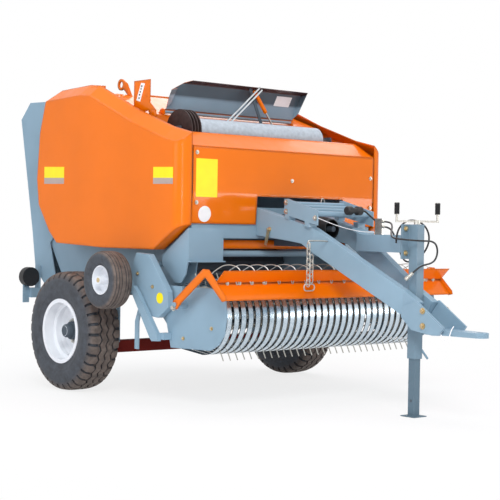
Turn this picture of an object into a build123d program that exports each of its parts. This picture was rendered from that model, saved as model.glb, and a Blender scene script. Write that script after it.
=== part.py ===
from build123d import *
import os
from math import cos, radians, sin

# Towed round baler, in millimetres. +X is the machine's left, -Y the way it is towed, +Z up.
# The origin is on the ground, midway between the hitch eye's tip and the tailgate's rear edge.
# Tables give places seen from the side as (ahead of the axle, up from the ground).

# Reach, wheels and axle
hitch_reach = 2707.0
tail_reach = 1143.0
axle_y = (hitch_reach - tail_reach) / 2
tyre_r = 395.0
tyre_w = 264.0
track = 1940.0
rim_seat_r = 196.0
rim_flange_r = 214.0
rim_w = 228.0
rim_t = 7.0
hub_r = 58.0
spindle_r = 25.0
running_gap = 0.1
seat_gap = 0.3
beam_side = 80.0
beam_z = 275.0
beam_half = 722.0
stub_plate_t = 24.0

# Chamber: two side plates, the tailgate's plates outboard of them, and a ring of rollers
plate_t = 8.0
chamber_half = 696.0
tailgate_half = 712.0
chamber_ahead = -250.0
chamber_z = 1290.0
ring_r = 590.0
roller_r = 98.0
roller_rib = 8.0
roller_gap = 8.0
roller_shaft_r = 20.0
hinge_ahead = -200.0
hinge_z = 1930.0
hinge_pin_r = 20.0

# Orange panels
panel_out = 893.0
panel_in = 800.0
bevel_rise = 78.0
panel_t = 5.0
corner_r = 84.0
front_ahead = 1034.0
front_half = 792.0
frame_back = 975.0
arm_back = 1008.0
sheet_t = 4.0
side_hinge_z = 2030.0
side_hinge_x = 780.0
side_pin_r = 7.0
side_eye_half = 12.0

# Pickup, reel and crop guard
lift_ahead = 760.0
lift_z = 640.0
reel_ahead = 1262.0
reel_z = 560.0
band_r = 228.0
band_t = 3.0
band_w = 40.0
band_pitch = 55.5
band_count = 32
tip_r = 292.0
tine_bar_r = 165.0
tine_t = 5.0
reel_rest_deg = -61.0
pickup_half = 900.0
guard_arm_x = 985.0
guard_half = 980.0

# Feed rotor
rotor_ahead = 780.0
rotor_z = 640.0
rotor_shaft_r = 22.0

# Drawbar, jack and hitch
arm_w = 55.0
jack_ahead = 2168.0
jack_top = 1134.0
jack_low = 342.0
jack_tube = 64.0
jack_leg = 50.0
jack_wall = 6.9
eye_r = 20.0
eye_z = 515.0
eye_t = 30.0
cheek_in = 91.0

# Gauge wheels
gauge_r = 184.0
gauge_w = 155.0
gauge_x = 1077.5
gauge_ahead = 542.0
gauge_z = 755.0


def ahead(distance):
    """Y of a place that lies this far ahead of the axle."""
    return axle_y - distance


def side_points(table):
    """Side-view table of (ahead, up) as sketch points."""
    return [(ahead(a), z) for a, z in table]


def plate(x_from, x_to, table, mode=Mode.ADD):
    """Solid between two X planes with a side-view outline."""
    with BuildSketch(Plane.YZ.offset(min(x_from, x_to))) as outline:
        with BuildLine():
            Polyline(*side_points(table), close=True)
        make_face()
    extrude(outline.sketch, amount=abs(x_to - x_from), mode=mode)


def sheet(x_from, x_to, table, t, side=Side.LEFT, mode=Mode.ADD):
    """Bent sheet across the machine, t thick to one side of a side-view line."""
    with BuildSketch(Plane.YZ.offset(min(x_from, x_to))) as section:
        with BuildLine():
            Polyline(*side_points(table))
            offset(amount=t, side=side, kind=Kind.INTERSECTION)
        make_face()
    extrude(section.sketch, amount=abs(x_to - x_from), mode=mode)


def block(x, a, z, mode=Mode.ADD):
    """Box given by its (low, high) in X, ahead and up."""
    centre = ((x[0] + x[1]) / 2, ahead((a[0] + a[1]) / 2), (z[0] + z[1]) / 2)
    with Locations(centre):
        Box(abs(x[1] - x[0]), abs(a[1] - a[0]), abs(z[1] - z[0]), mode=mode)


def rod(radius, x_from, x_to, a, z, mode=Mode.ADD):
    """Round bar, or a hole, along X."""
    with Locations(((x_from + x_to) / 2, ahead(a), z)):
        Cylinder(radius, abs(x_to - x_from), rotation=(0, 90, 0), mode=mode)


def on_ring(angle, radius=ring_r):
    """Place (ahead, up) on the chamber's ring, the angle taken upwards from straight ahead."""
    return chamber_ahead + radius * cos(radians(angle)), chamber_z + radius * sin(radians(angle))


def wheel_frame(x, a, z, side):
    """Plane through a wheel's axis, its own x pointing outboard and y up."""
    return Plane(origin=(x, ahead(a), z), x_dir=(side, 0, 0), z_dir=(0, -side, 0))


# Axle: a square beam slung under the spindles on two carrier plates
with BuildPart() as axle_beam:
    block((-beam_half, beam_half), (-beam_side / 2, beam_side / 2), (beam_z - beam_side / 2, beam_z + beam_side / 2))
    for side in (-1, 1):
        block(
            (side * beam_half, side * (beam_half + stub_plate_t)),
            (-60, 60),
            (beam_z - beam_side / 2, tyre_r + 60),
        )
        rod(45, side * (beam_half + stub_plate_t), side * 800, 0, tyre_r)
        rod(spindle_r, side * 800, side * (track / 2 + 40), 0, tyre_r)
axle_beam.part.label = "axle_beam"

# Tyre: outline over half the width, from the bead out over the shoulder to the crown
tread_r = tyre_r - 9
with BuildPart() as tyre_right:
    with BuildSketch(wheel_frame(-track / 2, 0, tyre_r, -1)):
        with BuildLine():
            left = (-tyre_w / 2, 300)
            right = (tyre_w / 2, 300)
            Polyline((-98, tyre_r - 22), (-88, tyre_r - 5), (-60, tyre_r), (60, tyre_r), (88, tyre_r - 5), (98, tyre_r - 22))
            ThreePointArc((98, tyre_r - 22), (128, 335), right)
            ThreePointArc(right, (126, 250), (103, rim_seat_r + 16))
            Polyline((103, rim_seat_r + 16), (96, rim_seat_r + seat_gap), (-96, rim_seat_r + seat_gap))
            Line((-96, rim_seat_r + seat_gap), (-103, rim_seat_r + 16))
            ThreePointArc((-103, rim_seat_r + 16), (-126, 250), left)
            ThreePointArc(left, (-128, 335), (-98, tyre_r - 22))
        make_face()
    revolve(axis=Axis((0, axle_y, tyre_r), (1, 0, 0)))
tyre_right.part.label = "tyre_right"

# Rim: flanged barrel, deep-set disc, hub and cap, bored for the spindle
with BuildPart() as rim_right:
    with BuildSketch(wheel_frame(-track / 2, 0, tyre_r, -1)):
        half = rim_w / 2
        with BuildLine():
            Polyline(
                (half, rim_flange_r),
                (half - 6, rim_flange_r),
                (half - 10, rim_seat_r),
                (40, rim_seat_r),
                (30, rim_seat_r - 20),
                (-30, rim_seat_r - 20),
                (-40, rim_seat_r),
                (10 - half, rim_seat_r),
                (6 - half, rim_flange_r),
                (-half, rim_flange_r),
                (-half, rim_seat_r - rim_t),
                (-44, rim_seat_r - rim_t),
                (-36, rim_seat_r - 20 - rim_t),
                (-10, rim_seat_r - 20 - rim_t),
                (-34, 150),
                (-40, 120),
                (-30, 92),
                (-30, hub_r),
                (-60, hub_r),
                (-60, spindle_r + running_gap),
                (48, spindle_r + running_gap),
                (48, 0),
                (78, 0),
                (78, 34),
                (70, 40),
                (30, 42),
                (30, hub_r),
                (-20, hub_r),
                (-20, 92),
                (-30, 120),
                (-24, 150),
                (0, rim_seat_r - 20 - rim_t),
                (36, rim_seat_r - 20 - rim_t),
                (44, rim_seat_r - rim_t),
                (half, rim_seat_r - rim_t),
                close=True,
            )
        make_face()
    revolve(axis=Axis((0, axle_y, tyre_r), (1, 0, 0)))
rim_right.part.label = "rim_right"

with BuildPart() as tyre_left:
    mirror(tyre_right.part, about=Plane.YZ)
tyre_left.part.label = "tyre_left"

with BuildPart() as rim_left:
    mirror(rim_right.part, about=Plane.YZ)
rim_left.part.label = "rim_left"

# Chamber side plate with its legs down to the axle beam, in (ahead, up)
chamber_outline = [
    (-530, 650),
    (-590, 760),
    (-740, 970),
    (-700, 1050),
    (-560, 1150),
    (-560, 1480),
    (-330, 1830),
    (-262, 1900),
    (-262, 1950),
    (-230, 1985),
    (-120, 1985),
    (98, 1946.3),
    (434, 1832.7),
    (469, 1556),
    (640, 1556),
    (650, 1545),
    (frame_back, 1545),
    (frame_back, 880),
    (950, 760),
    (960, 640),
    (930, 520),
    (860, 448),
    (700, 448),
    (600, 540),
    (560, 650),
    (140, 650),
    (140, beam_z + beam_side / 2),
    (-140, beam_z + beam_side / 2),
    (-140, 650),
]
with BuildPart() as chamber_side_right:
    plate(-chamber_half - plate_t, -chamber_half, chamber_outline)
    rod(hinge_pin_r, -chamber_half - plate_t, -chamber_half, hinge_ahead, hinge_z, mode=Mode.SUBTRACT)
    rod(rotor_shaft_r + running_gap, -chamber_half - plate_t, -chamber_half, rotor_ahead, rotor_z, mode=Mode.SUBTRACT)
chamber_side_right.part.label = "chamber_side_right"

with BuildPart() as chamber_side_left:
    mirror(chamber_side_right.part, about=Plane.YZ)
chamber_side_left.part.label = "chamber_side_left"

# Chamber rollers: each a ribbed tube with stub shafts seated on the side plates
front_angles = (75, 47, 19, -48, -78, -106)
rear_angles = (208, 180, 152, 124)


def roller(angle, half):
    """Ribbed roller on the ring, its stub shafts ending on the plates."""
    a, z = on_ring(angle)
    with BuildSketch(Plane.YZ.offset(-chamber_half + roller_gap)) as section:
        with Locations((ahead(a), z)):
            Circle(roller_r - roller_rib)
            with PolarLocations(roller_r - roller_rib, 8):
                Rectangle(2 * roller_rib, 20)
    extrude(section.sketch, amount=2 * (chamber_half - roller_gap))
    rod(roller_shaft_r, -half, half, a, z)


with BuildPart() as chamber_rollers:
    for angle in front_angles:
        roller(angle, chamber_half)
chamber_rollers.part.label = "chamber_rollers"

# Tailgate: plates, wrapped skin, rollers and the light bar
tailgate_outline = [
    (-612, 632),
    (-746, 633),
    (-915, 779),
    (-965, 1057),
    (-1094, 1650),
    (-tail_reach, 1875),
    (-1018, 1994),
    (-810, 1988),
    (-300, 1988),
    (-140, 1960),
    (-140, 1900),
    (-330, 1790),
    (-530, 1480),
    (-530, 1150),
    (-720, 970),
]
with BuildPart() as tailgate_side_right:
    plate(-tailgate_half - plate_t, -tailgate_half, tailgate_outline)
    rod(hinge_pin_r + running_gap, -tailgate_half - plate_t, -tailgate_half, hinge_ahead, hinge_z, mode=Mode.SUBTRACT)
tailgate_side_right.part.label = "tailgate_side_right"

with BuildPart() as tailgate_side_left:
    mirror(tailgate_side_right.part, about=Plane.YZ)
tailgate_side_left.part.label = "tailgate_side_left"

skin_line = [
    (-290, 1972),
    (-1012, 1976),
    (-1120, 1868),
    (-1076, 1650),
    (-948, 1057),
    (-899, 788),
    (-775, 680),
]
with BuildPart() as tailgate_skin:
    sheet(-tailgate_half, tailgate_half, skin_line, sheet_t, side=Side.RIGHT)
tailgate_skin.part.label = "tailgate_skin"

with BuildPart() as tailgate_rollers:
    for angle in rear_angles:
        roller(angle, tailgate_half)
tailgate_rollers.part.label = "tailgate_rollers"

bar_ahead = -870.0
bar_z = 604.0
bar_side = 70.0
with BuildPart() as light_bar:
    block((-800, 800), (bar_ahead - bar_side / 2, bar_ahead + bar_side / 2), (bar_z - bar_side / 2, bar_z + bar_side / 2))
    for side in (-1, 1):
        block((side * (tailgate_half + plate_t), side * 732), (bar_ahead - 30, bar_ahead + 30), (bar_z, 800))
        block((side * 800, side * 850), (bar_ahead - 4, bar_ahead + 4), (533, 765))
        with Locations((side * 812, ahead(bar_ahead + 4 + 22), 720)):
            Cylinder(68, 44, rotation=(90, 0, 0))
light_bar.part.label = "light_bar"

# Hinge pins of the tailgate, fixed in the chamber's plates
with BuildPart() as hinge_pins:
    for side in (-1, 1):
        rod(hinge_pin_r, side * (chamber_half - 20), side * (tailgate_half + plate_t + 12), hinge_ahead, hinge_z)
        rod(36, side * (tailgate_half + plate_t + 2), side * (tailgate_half + plate_t + 12), hinge_ahead, hinge_z)
        rod(24, side * (chamber_half - 7), side * chamber_half, hinge_ahead, hinge_z)
hinge_pins.part.label = "hinge_pins"

# Front frame: cross beam, corner posts and intake beam
post_outline = [
    (frame_back, 1230),
    (arm_back, 1230),
    (arm_back, 1325),
    (front_ahead - sheet_t, 1325),
    (front_ahead - sheet_t, 1570),
    (frame_back, 1570),
]
with BuildPart() as front_frame:
    block((-780, 780), (frame_back, arm_back), (1030, 1230))
    for side in (-1, 1):
        block((side * 540, side * 815), (1022, 1030), (880, 1092))
        block((side * 540, side * 815), (1030, 1055), (880, 888))
        block((side * 540, side * 780), (arm_back, 1030), (1070, 1092))
        plate(side * 700, side * 760, post_outline)
        plate(
            side * 807,
            side * 815,
            [(1022, 880), (1022, 1092), (990, 1070), (760, 918), (760, 860), (900, 750), (955, 750), (1000, 800)],
        )
        block((side * (chamber_half + plate_t), side * 807), (780, 900), (860, 880))
    rod(20, -chamber_half, chamber_half, 950, 932)
front_frame.part.label = "front_frame"

with BuildPart() as intake_hood:
    sheet(-chamber_half, chamber_half, [(970, 1019), (965, 964), (900, 960)], sheet_t)
intake_hood.part.label = "intake_hood"

# Drawbar arm: side view, cut to its plan view, outer edge then inner
arm_side = [
    (arm_back, 1232),
    (arm_back, 1050),
    (1300, 1020),
    (1410, 1005),
    (1480, 965),
    (2185, 576),
    (2268, 683),
    (1510, 1105),
]
arm_plan = [(arm_back, 254), (1510, 222), (2150, cheek_in), (2268, cheek_in)]
with BuildPart() as drawbar_arm_right:
    plate(-320, -20, arm_side)
    with BuildSketch(Plane.XY.offset(500)):
        with BuildLine():
            outer = [(-x, ahead(a)) for a, x in arm_plan]
            inner = [(arm_w - x, ahead(a)) for a, x in reversed(arm_plan)]
            Polyline(*outer, *inner, close=True)
        make_face()
    extrude(amount=800, mode=Mode.INTERSECT)
drawbar_arm_right.part.label = "drawbar_arm_right"

with BuildPart() as drawbar_arm_left:
    mirror(drawbar_arm_right.part, about=Plane.YZ)
drawbar_arm_left.part.label = "drawbar_arm_left"

# Hitch: two cheek plates, a nose block between them and the tongue with its eye
cheek_outline = [
    (2150, 590),
    (2150, 650),
    (2268, 690),
    (2478, 548),
    (2440, 500),
    (2391, 498),
    (2230, 520),
]
cheek_t = 12.0
eye_outer_r = 48.0
with BuildPart() as hitch:
    for side in (-1, 1):
        plate(side * cheek_in, side * (cheek_in + cheek_t), cheek_outline)
    block((-cheek_in, cheek_in), (2330, 2430), (500, 500 + eye_t))
    with BuildSketch(Plane.XY.offset(500)):
        with BuildLine():
            tongue_end = hitch_reach - eye_outer_r
            Polyline((-eye_outer_r, ahead(tongue_end)), (-70, ahead(2430)), (70, ahead(2430)), (eye_outer_r, ahead(tongue_end)))
            ThreePointArc(
                (eye_outer_r, ahead(tongue_end)),
                (0, ahead(hitch_reach)),
                (-eye_outer_r, ahead(tongue_end)),
            )
        make_face()
        with Locations((0, ahead(tongue_end))):
            Circle(eye_r, mode=Mode.SUBTRACT)
    extrude(amount=eye_t)
hitch.part.label = "hitch"

# Jack: square outer tube with its head, sliding leg with a foot, crank on top
with BuildPart() as jack_tube_part:
    tube_mid = (jack_low + jack_top) / 2
    with Locations((0, ahead(jack_ahead), tube_mid)):
        Box(jack_tube, jack_tube, jack_top - jack_low)
        Box(jack_tube - 2 * jack_wall, jack_tube - 2 * jack_wall, jack_top - jack_low - 16, mode=Mode.SUBTRACT)
    bore = jack_tube - 2 * jack_wall
    with Locations((0, ahead(jack_ahead), jack_low)):
        Box(bore, bore, 20, mode=Mode.SUBTRACT)
    block((-92, 92), (jack_ahead - jack_tube / 2 - 12, jack_ahead - jack_tube / 2), (930, 1134))
jack_tube_part.part.label = "jack_tube"

leg_top = 740.0
foot_side = 112.0
with BuildPart() as jack_leg_part:
    with Locations((0, ahead(jack_ahead), (leg_top + 6) / 2)):
        Box(jack_leg, jack_leg, leg_top - 6)
    with Locations((0, ahead(jack_ahead), 3)):
        Box(foot_side, foot_side, 6)
jack_leg_part.part.label = "jack_leg"

crank_half = 120.0
crank_turn = 40.56
crank_grip_r = 14.0
crank_way = (cos(radians(crank_turn)), -sin(radians(crank_turn)))
with BuildPart() as jack_crank:
    with Locations((0, ahead(jack_ahead), jack_top + 13)):
        Cylinder(18, 26)
    with Locations((0, ahead(jack_ahead), jack_top + 18)):
        Box(2 * crank_half + 16, 12, 12, rotation=(0, 0, -crank_turn))
    for side in (-1, 1):
        with Locations((side * crank_half * crank_way[0], ahead(jack_ahead) + side * crank_half * crank_way[1], 0)):
            with Locations((0, 0, jack_top + 58)):
                Cylinder(7, 92)
            with Locations((0, 0, jack_top + 93)):
                Cylinder(crank_grip_r, 70)
jack_crank.part.label = "jack_crank"

# Arm that carries the jack's head from the left drawbar arm
with BuildPart() as jack_bracket:
    with BuildSketch(Plane.XY.offset(965)):
        with BuildLine():
            Polyline(
                (45, ahead(jack_ahead - jack_tube / 2 - 12)),
                (-25, ahead(jack_ahead - jack_tube / 2 - 12)),
                (70, ahead(1600)),
                (140, ahead(1600)),
                close=True,
            )
        make_face()
    extrude(amount=105)
    plate(100, 185, [(1520, 1099.5), (1680, 1010.4), (1686, 1021), (1526, 1110)])
jack_bracket.part.label = "jack_bracket"

# Step over the drawbar: four tubes between two brackets standing on the arms
tube_table = [(1302, 1252), (1378, 1232), (1454, 1212), (1530, 1192)]
step_half = 246.0
with BuildPart() as step_platform:
    for side in (-1, 1):
        plate(
            side * (step_half - 8),
            side * step_half,
            [(1270, 1188), (1270, 1285), (1300, 1285), (1575, 1212), (1575, 1120)],
        )
        plate(side * 190, side * step_half, [(1275, 1164.5), (1275, 1200), (1315, 1200), (1315, 1154.4)])
        plate(side * 180, side * step_half, [(1460, 1117.7), (1460, 1148), (1500, 1142), (1500, 1107.6)])
    for a, z in tube_table:
        rod(17, -step_half + 8, step_half - 8, a, z)
step_platform.part.label = "step_platform"

# Gearbox and the power shaft's guard
shaft_z = 1100.0
with BuildPart() as gearbox:
    block((-95, 95), (arm_back, 1240), (985, 1190))
    with Locations((0, ahead(1270), shaft_z)):
        Cylinder(70, 60, rotation=(90, 0, 0))
    with Locations((0, ahead(1380), shaft_z)):
        Cylinder(17.45, 170, rotation=(90, 0, 0))
gearbox.part.label = "gearbox"

with BuildPart() as shaft_guard:
    with BuildSketch(Plane(origin=(0, ahead(1300), shaft_z), x_dir=(0, -1, 0), z_dir=(1, 0, 0))):
        with BuildLine():
            Polyline((0, 62), (0, 72), (60, 78), (150, 62), (150, 57), (60, 73), (6, 67), (6, 62), close=True)
        make_face()
    revolve(axis=Axis((0, ahead(1300), shaft_z), (0, 1, 0)))
shaft_guard.part.label = "shaft_guard"

# Orange front panel with its fold and the notch for the drawbar
with BuildPart() as front_panel:
    sheet(-front_half, front_half, [(front_ahead - 14, 1120), (front_ahead, 1312), (front_ahead, 1596)], sheet_t, side=Side.RIGHT)
    block((-265, 500), (front_ahead - 30, front_ahead + 10), (1100, 1300), mode=Mode.SUBTRACT)
front_panel.part.label = "front_panel"

# Top deck: sloping front, net trough and the roof back to the hinge
lid_hinge_ahead = 415.0
lid_hinge_z = 1862.0
lid_half = 565.0
lid_pin_r = 8.0
trough_z = 1560.0
deck_line = [
    (front_ahead, 1600),
    (852, 1702),
    (845, trough_z),
    (475, trough_z),
    (440, 1835),
    (100, 1950),
    (-90, 2010),
]
with BuildPart() as top_deck:
    sheet(-front_half, front_half, deck_line, sheet_t, side=Side.RIGHT)
    for side in (-1, 1):
        plate(
            side * (lid_half + 3),
            side * (lid_half + 13),
            [(440, 1833), (380, 1853), (395, 1875), (415, 1882), (435, 1875)],
        )
        rod(lid_pin_r, side * (lid_half - 27), side * (lid_half + 3), lid_hinge_ahead, lid_hinge_z)
        plate(side * 494, side * 506, [(-40, 1993), (-85, 2006), (-138, 2052), (-150, 2118), (-100, 2090)])
        for near, near_z, far, far_z in ((20, 1975, 32, 1971), (-82, 2007, -70, 2003)):
            plate(
                side * (side_hinge_x - side_eye_half),
                side * (side_hinge_x + side_eye_half),
                [(near, near_z), (near, side_hinge_z + 10), (far, side_hinge_z + 10), (far, far_z)],
            )
        with Locations((side * side_hinge_x, ahead(-25), side_hinge_z)):
            Cylinder(side_pin_r, 104, rotation=(90, 0, 0))
        rod(40, side * 494, side * 506, -169, 2084)
        rod(22, side * 490, side * 510, -169, 2084, mode=Mode.SUBTRACT)
top_deck.part.label = "top_deck"

# Side panel: bevelled shell, bend line in (ahead, up)
bend_line = [
    (-640, 1940),
    (-560, 1958),
    (-100, 1975),
    (19, 1963),
    (485, 1771),
    (853, 1647),
    (1060, 1600),
]
panel_rear = [
    (200, 953),
    (-360, 974),
    (-459, 1054),
    (-600, 1240),
    (-627, 1420),
    (-596, 1743),
    (-529, 1952),
    (-430, 2070),
]


def panel_outline(inset):
    """Side-view outline of the side panel, moved inwards by inset."""
    top = 2120.0
    front = front_ahead - inset
    low = [(front, 1112 + inset), (front - 30, 1098 + inset), (769 - inset / 2, 953 + inset)]
    rear = [(a + inset, z) for a, z in panel_rear[1:]]
    rear[0] = (panel_rear[1][0] + inset, panel_rear[1][1] + inset)
    return [(front, top)] + low + [(200, 953 + inset)] + rear + [(rear[-1][0], top)]


def panel_body(inset):
    """Bevelled body of the side panel, moved inwards by inset."""
    x_out = -(panel_out - inset)
    drop = inset * 0.35
    rise = bevel_rise * (panel_out - inset - panel_in) / (panel_out - panel_in)
    sections = []
    for a, z in bend_line:
        with BuildSketch(Plane.XZ.offset(-ahead(a))) as section:
            with BuildLine():
                Polyline(
                    (x_out, 850),
                    (x_out, z - drop),
                    (-panel_in, z - drop + rise),
                    (-panel_in, 850),
                    close=True,
                )
            make_face()
        sections.append(section.sketch)
    loft(sections, ruled=True)
    plate(-panel_out - 10, -panel_in + 10, panel_outline(inset), mode=Mode.INTERSECT)


with BuildPart() as panel_core:
    panel_body(panel_t)
    front_edge = panel_core.part.edges().filter_by(Axis.Z).group_by(Axis.Y)[0].sort_by(Axis.X)[0]
    fillet(front_edge, corner_r - panel_t)

with BuildPart() as side_panel_right:
    panel_body(0)
    front_edge = side_panel_right.part.edges().filter_by(Axis.Z).group_by(Axis.Y)[0].sort_by(Axis.X)[0]
    fillet(front_edge, corner_r)
    add(panel_core.part, mode=Mode.SUBTRACT)
    for eye_ahead in (0, -50):
        block((-808, -side_hinge_x + side_eye_half), (eye_ahead - 16, eye_ahead + 12), (side_hinge_z - 12, side_hinge_z + 10))
        with Locations((-side_hinge_x, ahead(eye_ahead), side_hinge_z)):
            Cylinder(side_pin_r + running_gap, 60, rotation=(90, 0, 0), mode=Mode.SUBTRACT)
side_panel_right.part.label = "side_panel_right"

with BuildPart() as side_panel_left:
    mirror(side_panel_right.part, about=Plane.YZ)
side_panel_left.part.label = "side_panel_left"

# Drive cover on each side, a flat box with a bevelled front
cover_out = 960.0
cover_in = 915.0
cover_outline = [
    (679, 931),
    (810, 925),
    (1008, 699),
    (1020, 602),
    (919, 535),
    (824, 542),
    (614, 796),
]
with BuildPart() as drive_cover_right:
    plate(-cover_out, -cover_in, cover_outline)
    rod(20, -cover_in, -chamber_half - plate_t, 690, 860)
drive_cover_right.part.label = "drive_cover_right"

with BuildPart() as drive_cover_left:
    mirror(drive_cover_right.part, about=Plane.YZ)
drive_cover_left.part.label = "drive_cover_left"

# Feed rotor with its fingers, and the tub under it
rotor_r = 165.0
rotor_half = 690.0
star_count = 12
star_t = 8.0
tub_r = 185.0
with BuildPart() as feed_rotor:
    rod(50, -rotor_half, rotor_half, rotor_ahead, rotor_z)
    rod(rotor_shaft_r, -chamber_half - plate_t + 1, chamber_half + plate_t - 1, rotor_ahead, rotor_z)
    for index in range(star_count):
        station = -rotor_half + (index + 0.5) * 2 * rotor_half / star_count
        with BuildSketch(Plane.YZ.offset(station - star_t / 2)):
            with Locations(Location((ahead(rotor_ahead), rotor_z, 0), index * 30)):
                with PolarLocations(48, 4):
                    Polygon((0, -30), (rotor_r - 54, -6), (rotor_r - 50, 6), (0, 30), align=None)
        extrude(amount=star_t)
feed_rotor.part.label = "feed_rotor"

with BuildPart() as rotor_tub:
    with BuildSketch(Plane.YZ.offset(-chamber_half)):
        with BuildLine():
            ends = [(rotor_ahead + tub_r * cos(radians(t)), rotor_z + tub_r * sin(radians(t))) for t in (-60, -115, -170)]
            ThreePointArc(*side_points(ends))
            offset(amount=sheet_t, side=Side.LEFT)
        make_face()
    extrude(amount=2 * chamber_half)
rotor_tub.part.label = "rotor_tub"

# Pickup frame: end plates with pivot arms, cross tubes and the parked gauge wheels' arms
pickup_outline = [
    (931, 534),
    (985, 356),
    (1369, 366),
    (1450, 405),
    (1500, 470),
    (1519, 590),
    (1500, 720),
    (1420, 735),
    (1150, 735),
    (1060, 700),
]
lift_arm = [
    (715, 600),
    (715, 680),
    (780, 700),
    (960, 735),
    (1080, 735),
    (1080, 520),
    (960, 560),
    (800, 590),
]
lift_pin_r = 30.0
reel_shaft_r = 22.0
pin_boss_r = 26.0
guard_pin_r = 16.0
guard_ahead = 1123.0
guard_z = 627.0
gauge_arm = [(675, 690), (700, 725), (740, 690), (952, 440), (960, 395), (900, 392), (880, 410)]
hanger_strap = [(709, 500), (709, 325), (669, 325), (669, 500), (718, 622), (748, 622)]
with BuildPart() as pickup_frame:
    block((-pickup_half, pickup_half), (975, 1008), (700, 732))
    block((-pickup_half, pickup_half), (985, 1012), (360, 387))
    for side in (-1, 1):
        plate(side * pickup_half, side * (pickup_half + plate_t), pickup_outline)
        plate(side * (pickup_half - 15), side * pickup_half, lift_arm)
        rod(lift_pin_r + running_gap, side * (pickup_half - 16), side * pickup_half, lift_ahead, lift_z, mode=Mode.SUBTRACT)
        rod(40, side * (pickup_half - 14), side * pickup_half, reel_ahead, reel_z)
        rod(reel_shaft_r + running_gap, side * (pickup_half - 15), side * pickup_half, reel_ahead, reel_z, mode=Mode.SUBTRACT)
        rod(pin_boss_r, side * (pickup_half + plate_t), side * 975, guard_ahead, guard_z)
        rod(guard_pin_r, side * 975, side * 996, guard_ahead, guard_z)
        plate(side * 965, side * 993, gauge_arm)
        block((side * (pickup_half + plate_t), side * 965), (940, 990), (405, 445))
        plate(side * 973, side * 985, [(675, 690), (520, 780), (535, 735), (690, 660)])
        rod(14, side * 973, side * 1150, gauge_ahead, gauge_z)
        plate(side * 946, side * 954, hanger_strap)
        block((side * 946, side * 965), (718, 748), (592, 622))
pickup_frame.part.label = "pickup_frame"

# Bent bands over the reel
band_top = [(976, 735), (1008, 735), (reel_ahead, reel_z + band_r)]
band_low = [(reel_ahead, reel_z - band_r), (1012, 357), (986, 357)]
with BuildPart() as band:
    with BuildSketch(Plane.YZ.offset(-band_w / 2)):
        with BuildLine():
            Polyline(*side_points(band_top))
            ThreePointArc(
                (ahead(reel_ahead), reel_z + band_r),
                (ahead(reel_ahead + band_r), reel_z),
                (ahead(reel_ahead), reel_z - band_r),
            )
            Polyline(*side_points(band_low))
            offset(amount=band_t, side=Side.LEFT)
        make_face()
    extrude(amount=band_w)

band_places = [Location(((index - (band_count - 1) / 2) * band_pitch, 0, 0)) for index in range(band_count)]
with BuildPart() as pickup_bands:
    with Locations(*band_places):
        add(band.part)
pickup_bands.part.label = "pickup_bands"

# Tined reel: shaft, discs, tine bars and a tine in each gap between bands
with BuildPart() as reel:
    rod(reel_shaft_r, -pickup_half + 1, pickup_half - 1, reel_ahead, reel_z)
    for station in (-865, -280, 280, 865):
        rod(182, station - 3, station + 3, reel_ahead, reel_z)
    for quarter in range(4):
        turn = reel_rest_deg + 90 * quarter
        bar_a = reel_ahead + tine_bar_r * cos(radians(turn))
        bar_z = reel_z + tine_bar_r * sin(radians(turn))
        rod(14, -868, 868, bar_a, bar_z)
        tine_length = tip_r - tine_bar_r
        tine_mid = (tip_r + tine_bar_r) / 2
        tine_y = ahead(reel_ahead + tine_mid * cos(radians(turn)))
        tine_z = reel_z + tine_mid * sin(radians(turn))
        gaps = [(index - (band_count - 2) / 2) * band_pitch for index in range(band_count - 1)]
        with Locations(*[(station, tine_y, tine_z) for station in gaps]):
            Box(tine_t, tine_length, tine_t, rotation=(-turn, 0, 0))
reel.part.label = "reel"

# Crop guard: folded sheet between two bent flat arms
guard_line = [(1580, 845), (1500, 770), (1590, 676)]
guard_arm = [
    (1100, 610),
    (1140, 600),
    (1180, 640),
    (1410, 805),
    (1570, 668),
    (1606, 676),
    (1600, 700),
    (1440, 850),
    (1390, 852),
    (1105, 650),
]
with BuildPart() as crop_guard:
    sheet(-guard_half, guard_half, guard_line, sheet_t, side=Side.LEFT)
    for side in (-1, 1):
        plate(side * guard_half, side * (guard_half + 8), guard_arm)
        rod(guard_pin_r + running_gap, side * (guard_half - 1), side * (guard_half + 9), guard_ahead, guard_z, mode=Mode.SUBTRACT)
crop_guard.part.label = "crop_guard"

# Chain hanging from a hook on the drawbar arm, in front of the guard
link_long = 34.0
link_wide = 22.0
link_wire = 6.0
chain_x = -305.0
chain_ahead = 1622.0
chain_top = 1014.0
link_count = 12
with BuildPart() as guard_chain:
    for index in range(link_count):
        drop = chain_top - index * (link_long - link_wire)
        turned = index % 2
        with Locations((chain_x, ahead(chain_ahead), drop - link_long / 2)):
            if turned:
                Box(link_wire, link_wide, link_long)
                Box(link_wire, link_wide - 2 * link_wire, link_long - 2 * link_wire, mode=Mode.SUBTRACT)
            else:
                Box(link_wide, link_wire, link_long)
                Box(link_wide - 2 * link_wire, link_wire, link_long - 2 * link_wire, mode=Mode.SUBTRACT)
    rod(6, -320, -200.5, chain_ahead, chain_top)
guard_chain.part.label = "guard_chain"

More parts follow.
